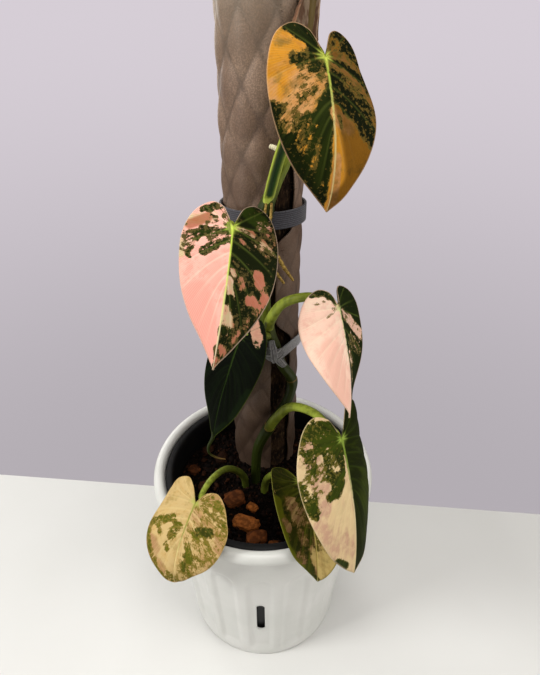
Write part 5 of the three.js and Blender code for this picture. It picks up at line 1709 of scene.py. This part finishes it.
drip_line = [tuple(leaf_tip + np.array(offset)) for offset in DRIP_OFFSETS]
points, faces, shares, _ = sweep(drip_line, DRIP_RADII, sides=16, shape=drip_section)
drip_numbers = {"young": 0.1 * shares, "scar": 0.66 * shares, "wing": 0 * shares, "channel": 0 * shares}
new_piece("leaf_drip_tip", points, faces, stem_green, "leaf_7", numbers=drip_numbers)

# %% [markdown]
# Aerial roots come out of the nodes. Old ones are corky and dry up where they find nothing to hold,
# and one is fresh, so its tip is still nearly white.

# %% Aerial roots
ROOTS = {
    1: ([(3.4, -0.2, 378.5), (2.4, -1.5, 371), (2.3, -2.2, 364), (3.1, -2, 356.5)], [0.7, 0.8, 0.8, 0.6]),
    2: ([(6.4, -0.4, 378.5), (5.9, -1.5, 371), (5.2, -2.1, 365), (5.6, -1.6, 357)], [0.7, 0.8, 0.8, 0.6]),
    3: ([(12, 6.8, 403.6), (8.8, 8, 406.2), (5.4, 8.6, 407.4)], [1.5, 1.4, 1.2]),
    4: ([(5.6, 5.6, 347), (10, 7.6, 342), (15, 9.6, 332.5), (20.4, 14.6, 322)], [1.3, 1.3, 1.2, 0.8]),
    5: ([(4.7, 6, 338), (8.6, 7.4, 332), (14.4, 9.6, 322.5)], [1.2, 1.2, 0.8]),
}
FRESH_ROOT = 3


def root_swell(share):
    return 1 + 0.08 * np.sin(share * 41) + 0.05 * np.sin(share * 97 + 1)


for index, (route, radii) in ROOTS.items():
    points, faces, shares, _ = sweep(route, radii, sides=16, per_span=14, swell=root_swell)
    fresh = {"fresh": (index == FRESH_ROOT) * smoothstep(shares, 0.2, 0.6)}
    new_piece(f"root_{index}", points, faces, root_tan, "root", [f"aerial_root_{index}"], fresh)

# %% [markdown]
# ## Bract and new leaf
#
# The newest leaf comes rolled out of a bract, which dries to brown paper and stays on for a while.
# The bract is a thin scoop with long creases, open to the front. The rolled leaf shows the edge of
# its outer turn as a spiral step.

# %% Bract paper
bract_paper, tree, shader = start_material("Dry bract, papery brown", Roughness=0.75)
creases = grain(tree, 2.2, detail=5, stretch=(1, 1, 0.12))
outside_tone = add(tree, "blend", add(tree, "ease", creases, 0.38, 0.65), "#3a2212", "#7d5538")
inside_tone = add(tree, "blend", add(tree, "ease", creases, 0.4, 0.6), "#6e4f38", "#a08a72")
paper = add(tree, "blend", add(tree, "number", "inside"), outside_tone, inside_tone)
dress(tree, shader, paper, creases, 0.5)

# %% Bract
BRACT_LINE = [(22.6, 8.6, 448), (22, 9.6, 458), (24, 13, 469), (27.4, 18.6, 481), (29.6, 23.5, 492)]
BRACT_RADII = [4.6, 7.2, 5.8, 3.2, 0.9]
BRACT_THICKNESS = 0.35
BRACT_COLUMNS = 33
BRACT_HALF_TURN = 2.1
THINNEST_RADIUS = 0.05

line = smooth_line(BRACT_LINE, 12)
shares = np.linspace(0, 1, len(line))
radii = np.interp(shares * (len(BRACT_RADII) - 1), range(len(BRACT_RADII)), BRACT_RADII)
spread = np.linspace(-1, 1, BRACT_COLUMNS)
angles = math.pi + spread * BRACT_HALF_TURN
outer_rows, inner_rows = [], []
for share, radius, (centre, _, front, side) in zip(shares, radii, frames_along(line)):
    crease = 0.05 * np.sin(spread * 19 + 3 * share) + 0.03 * np.sin(spread * 41)
    reach = radius * (0.72 + 0.28 * np.abs(np.sin(angles)) + crease)
    for rows, inwards in ((outer_rows, 0), (inner_rows, BRACT_THICKNESS)):
        r = np.maximum(reach - inwards, THINNEST_RADIUS)
        rows.append(centre + np.outer(r * np.cos(angles), front) + np.outer(r * np.sin(angles), side))
points = np.concatenate(outer_rows + inner_rows)
faces = two_sheets(len(line), BRACT_COLUMNS)
inside = {"inside": np.repeat([0.0, 1.0], len(points) // 2)}
new_piece("bract_dry", points, faces, bract_paper, "bract", ["bract"], inside)

# %% Skin of the new leaf
new_leaf_skin, tree, shader = start_material("Rolled new leaf, coppery", Roughness=0.4, Sheen_Weight=0.1)
lines_along = grain(tree, 2.5, detail=4, stretch=(1, 1, 0.15))
copper = add(tree, "blend", add(tree, "ease", lines_along, 0.4, 0.66), "#6b412b", "#a36a4e")
rolled = add(tree, "blend", add(tree, "ease", add(tree, "number", "young"), 0.3, 1), "#7c6a3c", copper)
dress(tree, shader, rolled, lines_along, 0.2)

# %% New leaf
NEW_LEAF_LINE = [(25.2, 15.6, 455.5), (26.2, 18.4, 466), (27.4, 24, 484), (30, 30.5, 500), (33.5, 34, 513)]
NEW_LEAF_RADII = [2.6, 3.2, 3.3, 2.4, 0.5]


def rolled_section(share, angles):
    """A spiral: the radius grows round the rod, and drops in a step where the outer turn ends."""
    turned_by = (angles + 2.4 * share + 0.6) % (2 * math.pi)
    return 0.82 + 0.2 * turned_by / (2 * math.pi)


points, faces, shares, _ = sweep(
    NEW_LEAF_LINE, NEW_LEAF_RADII, sides=48, per_span=16, shape=rolled_section
)
new_piece("new_leaf_rolled", points, faces, new_leaf_skin, "new_leaf", ["new_leaf"], {"young": shares})
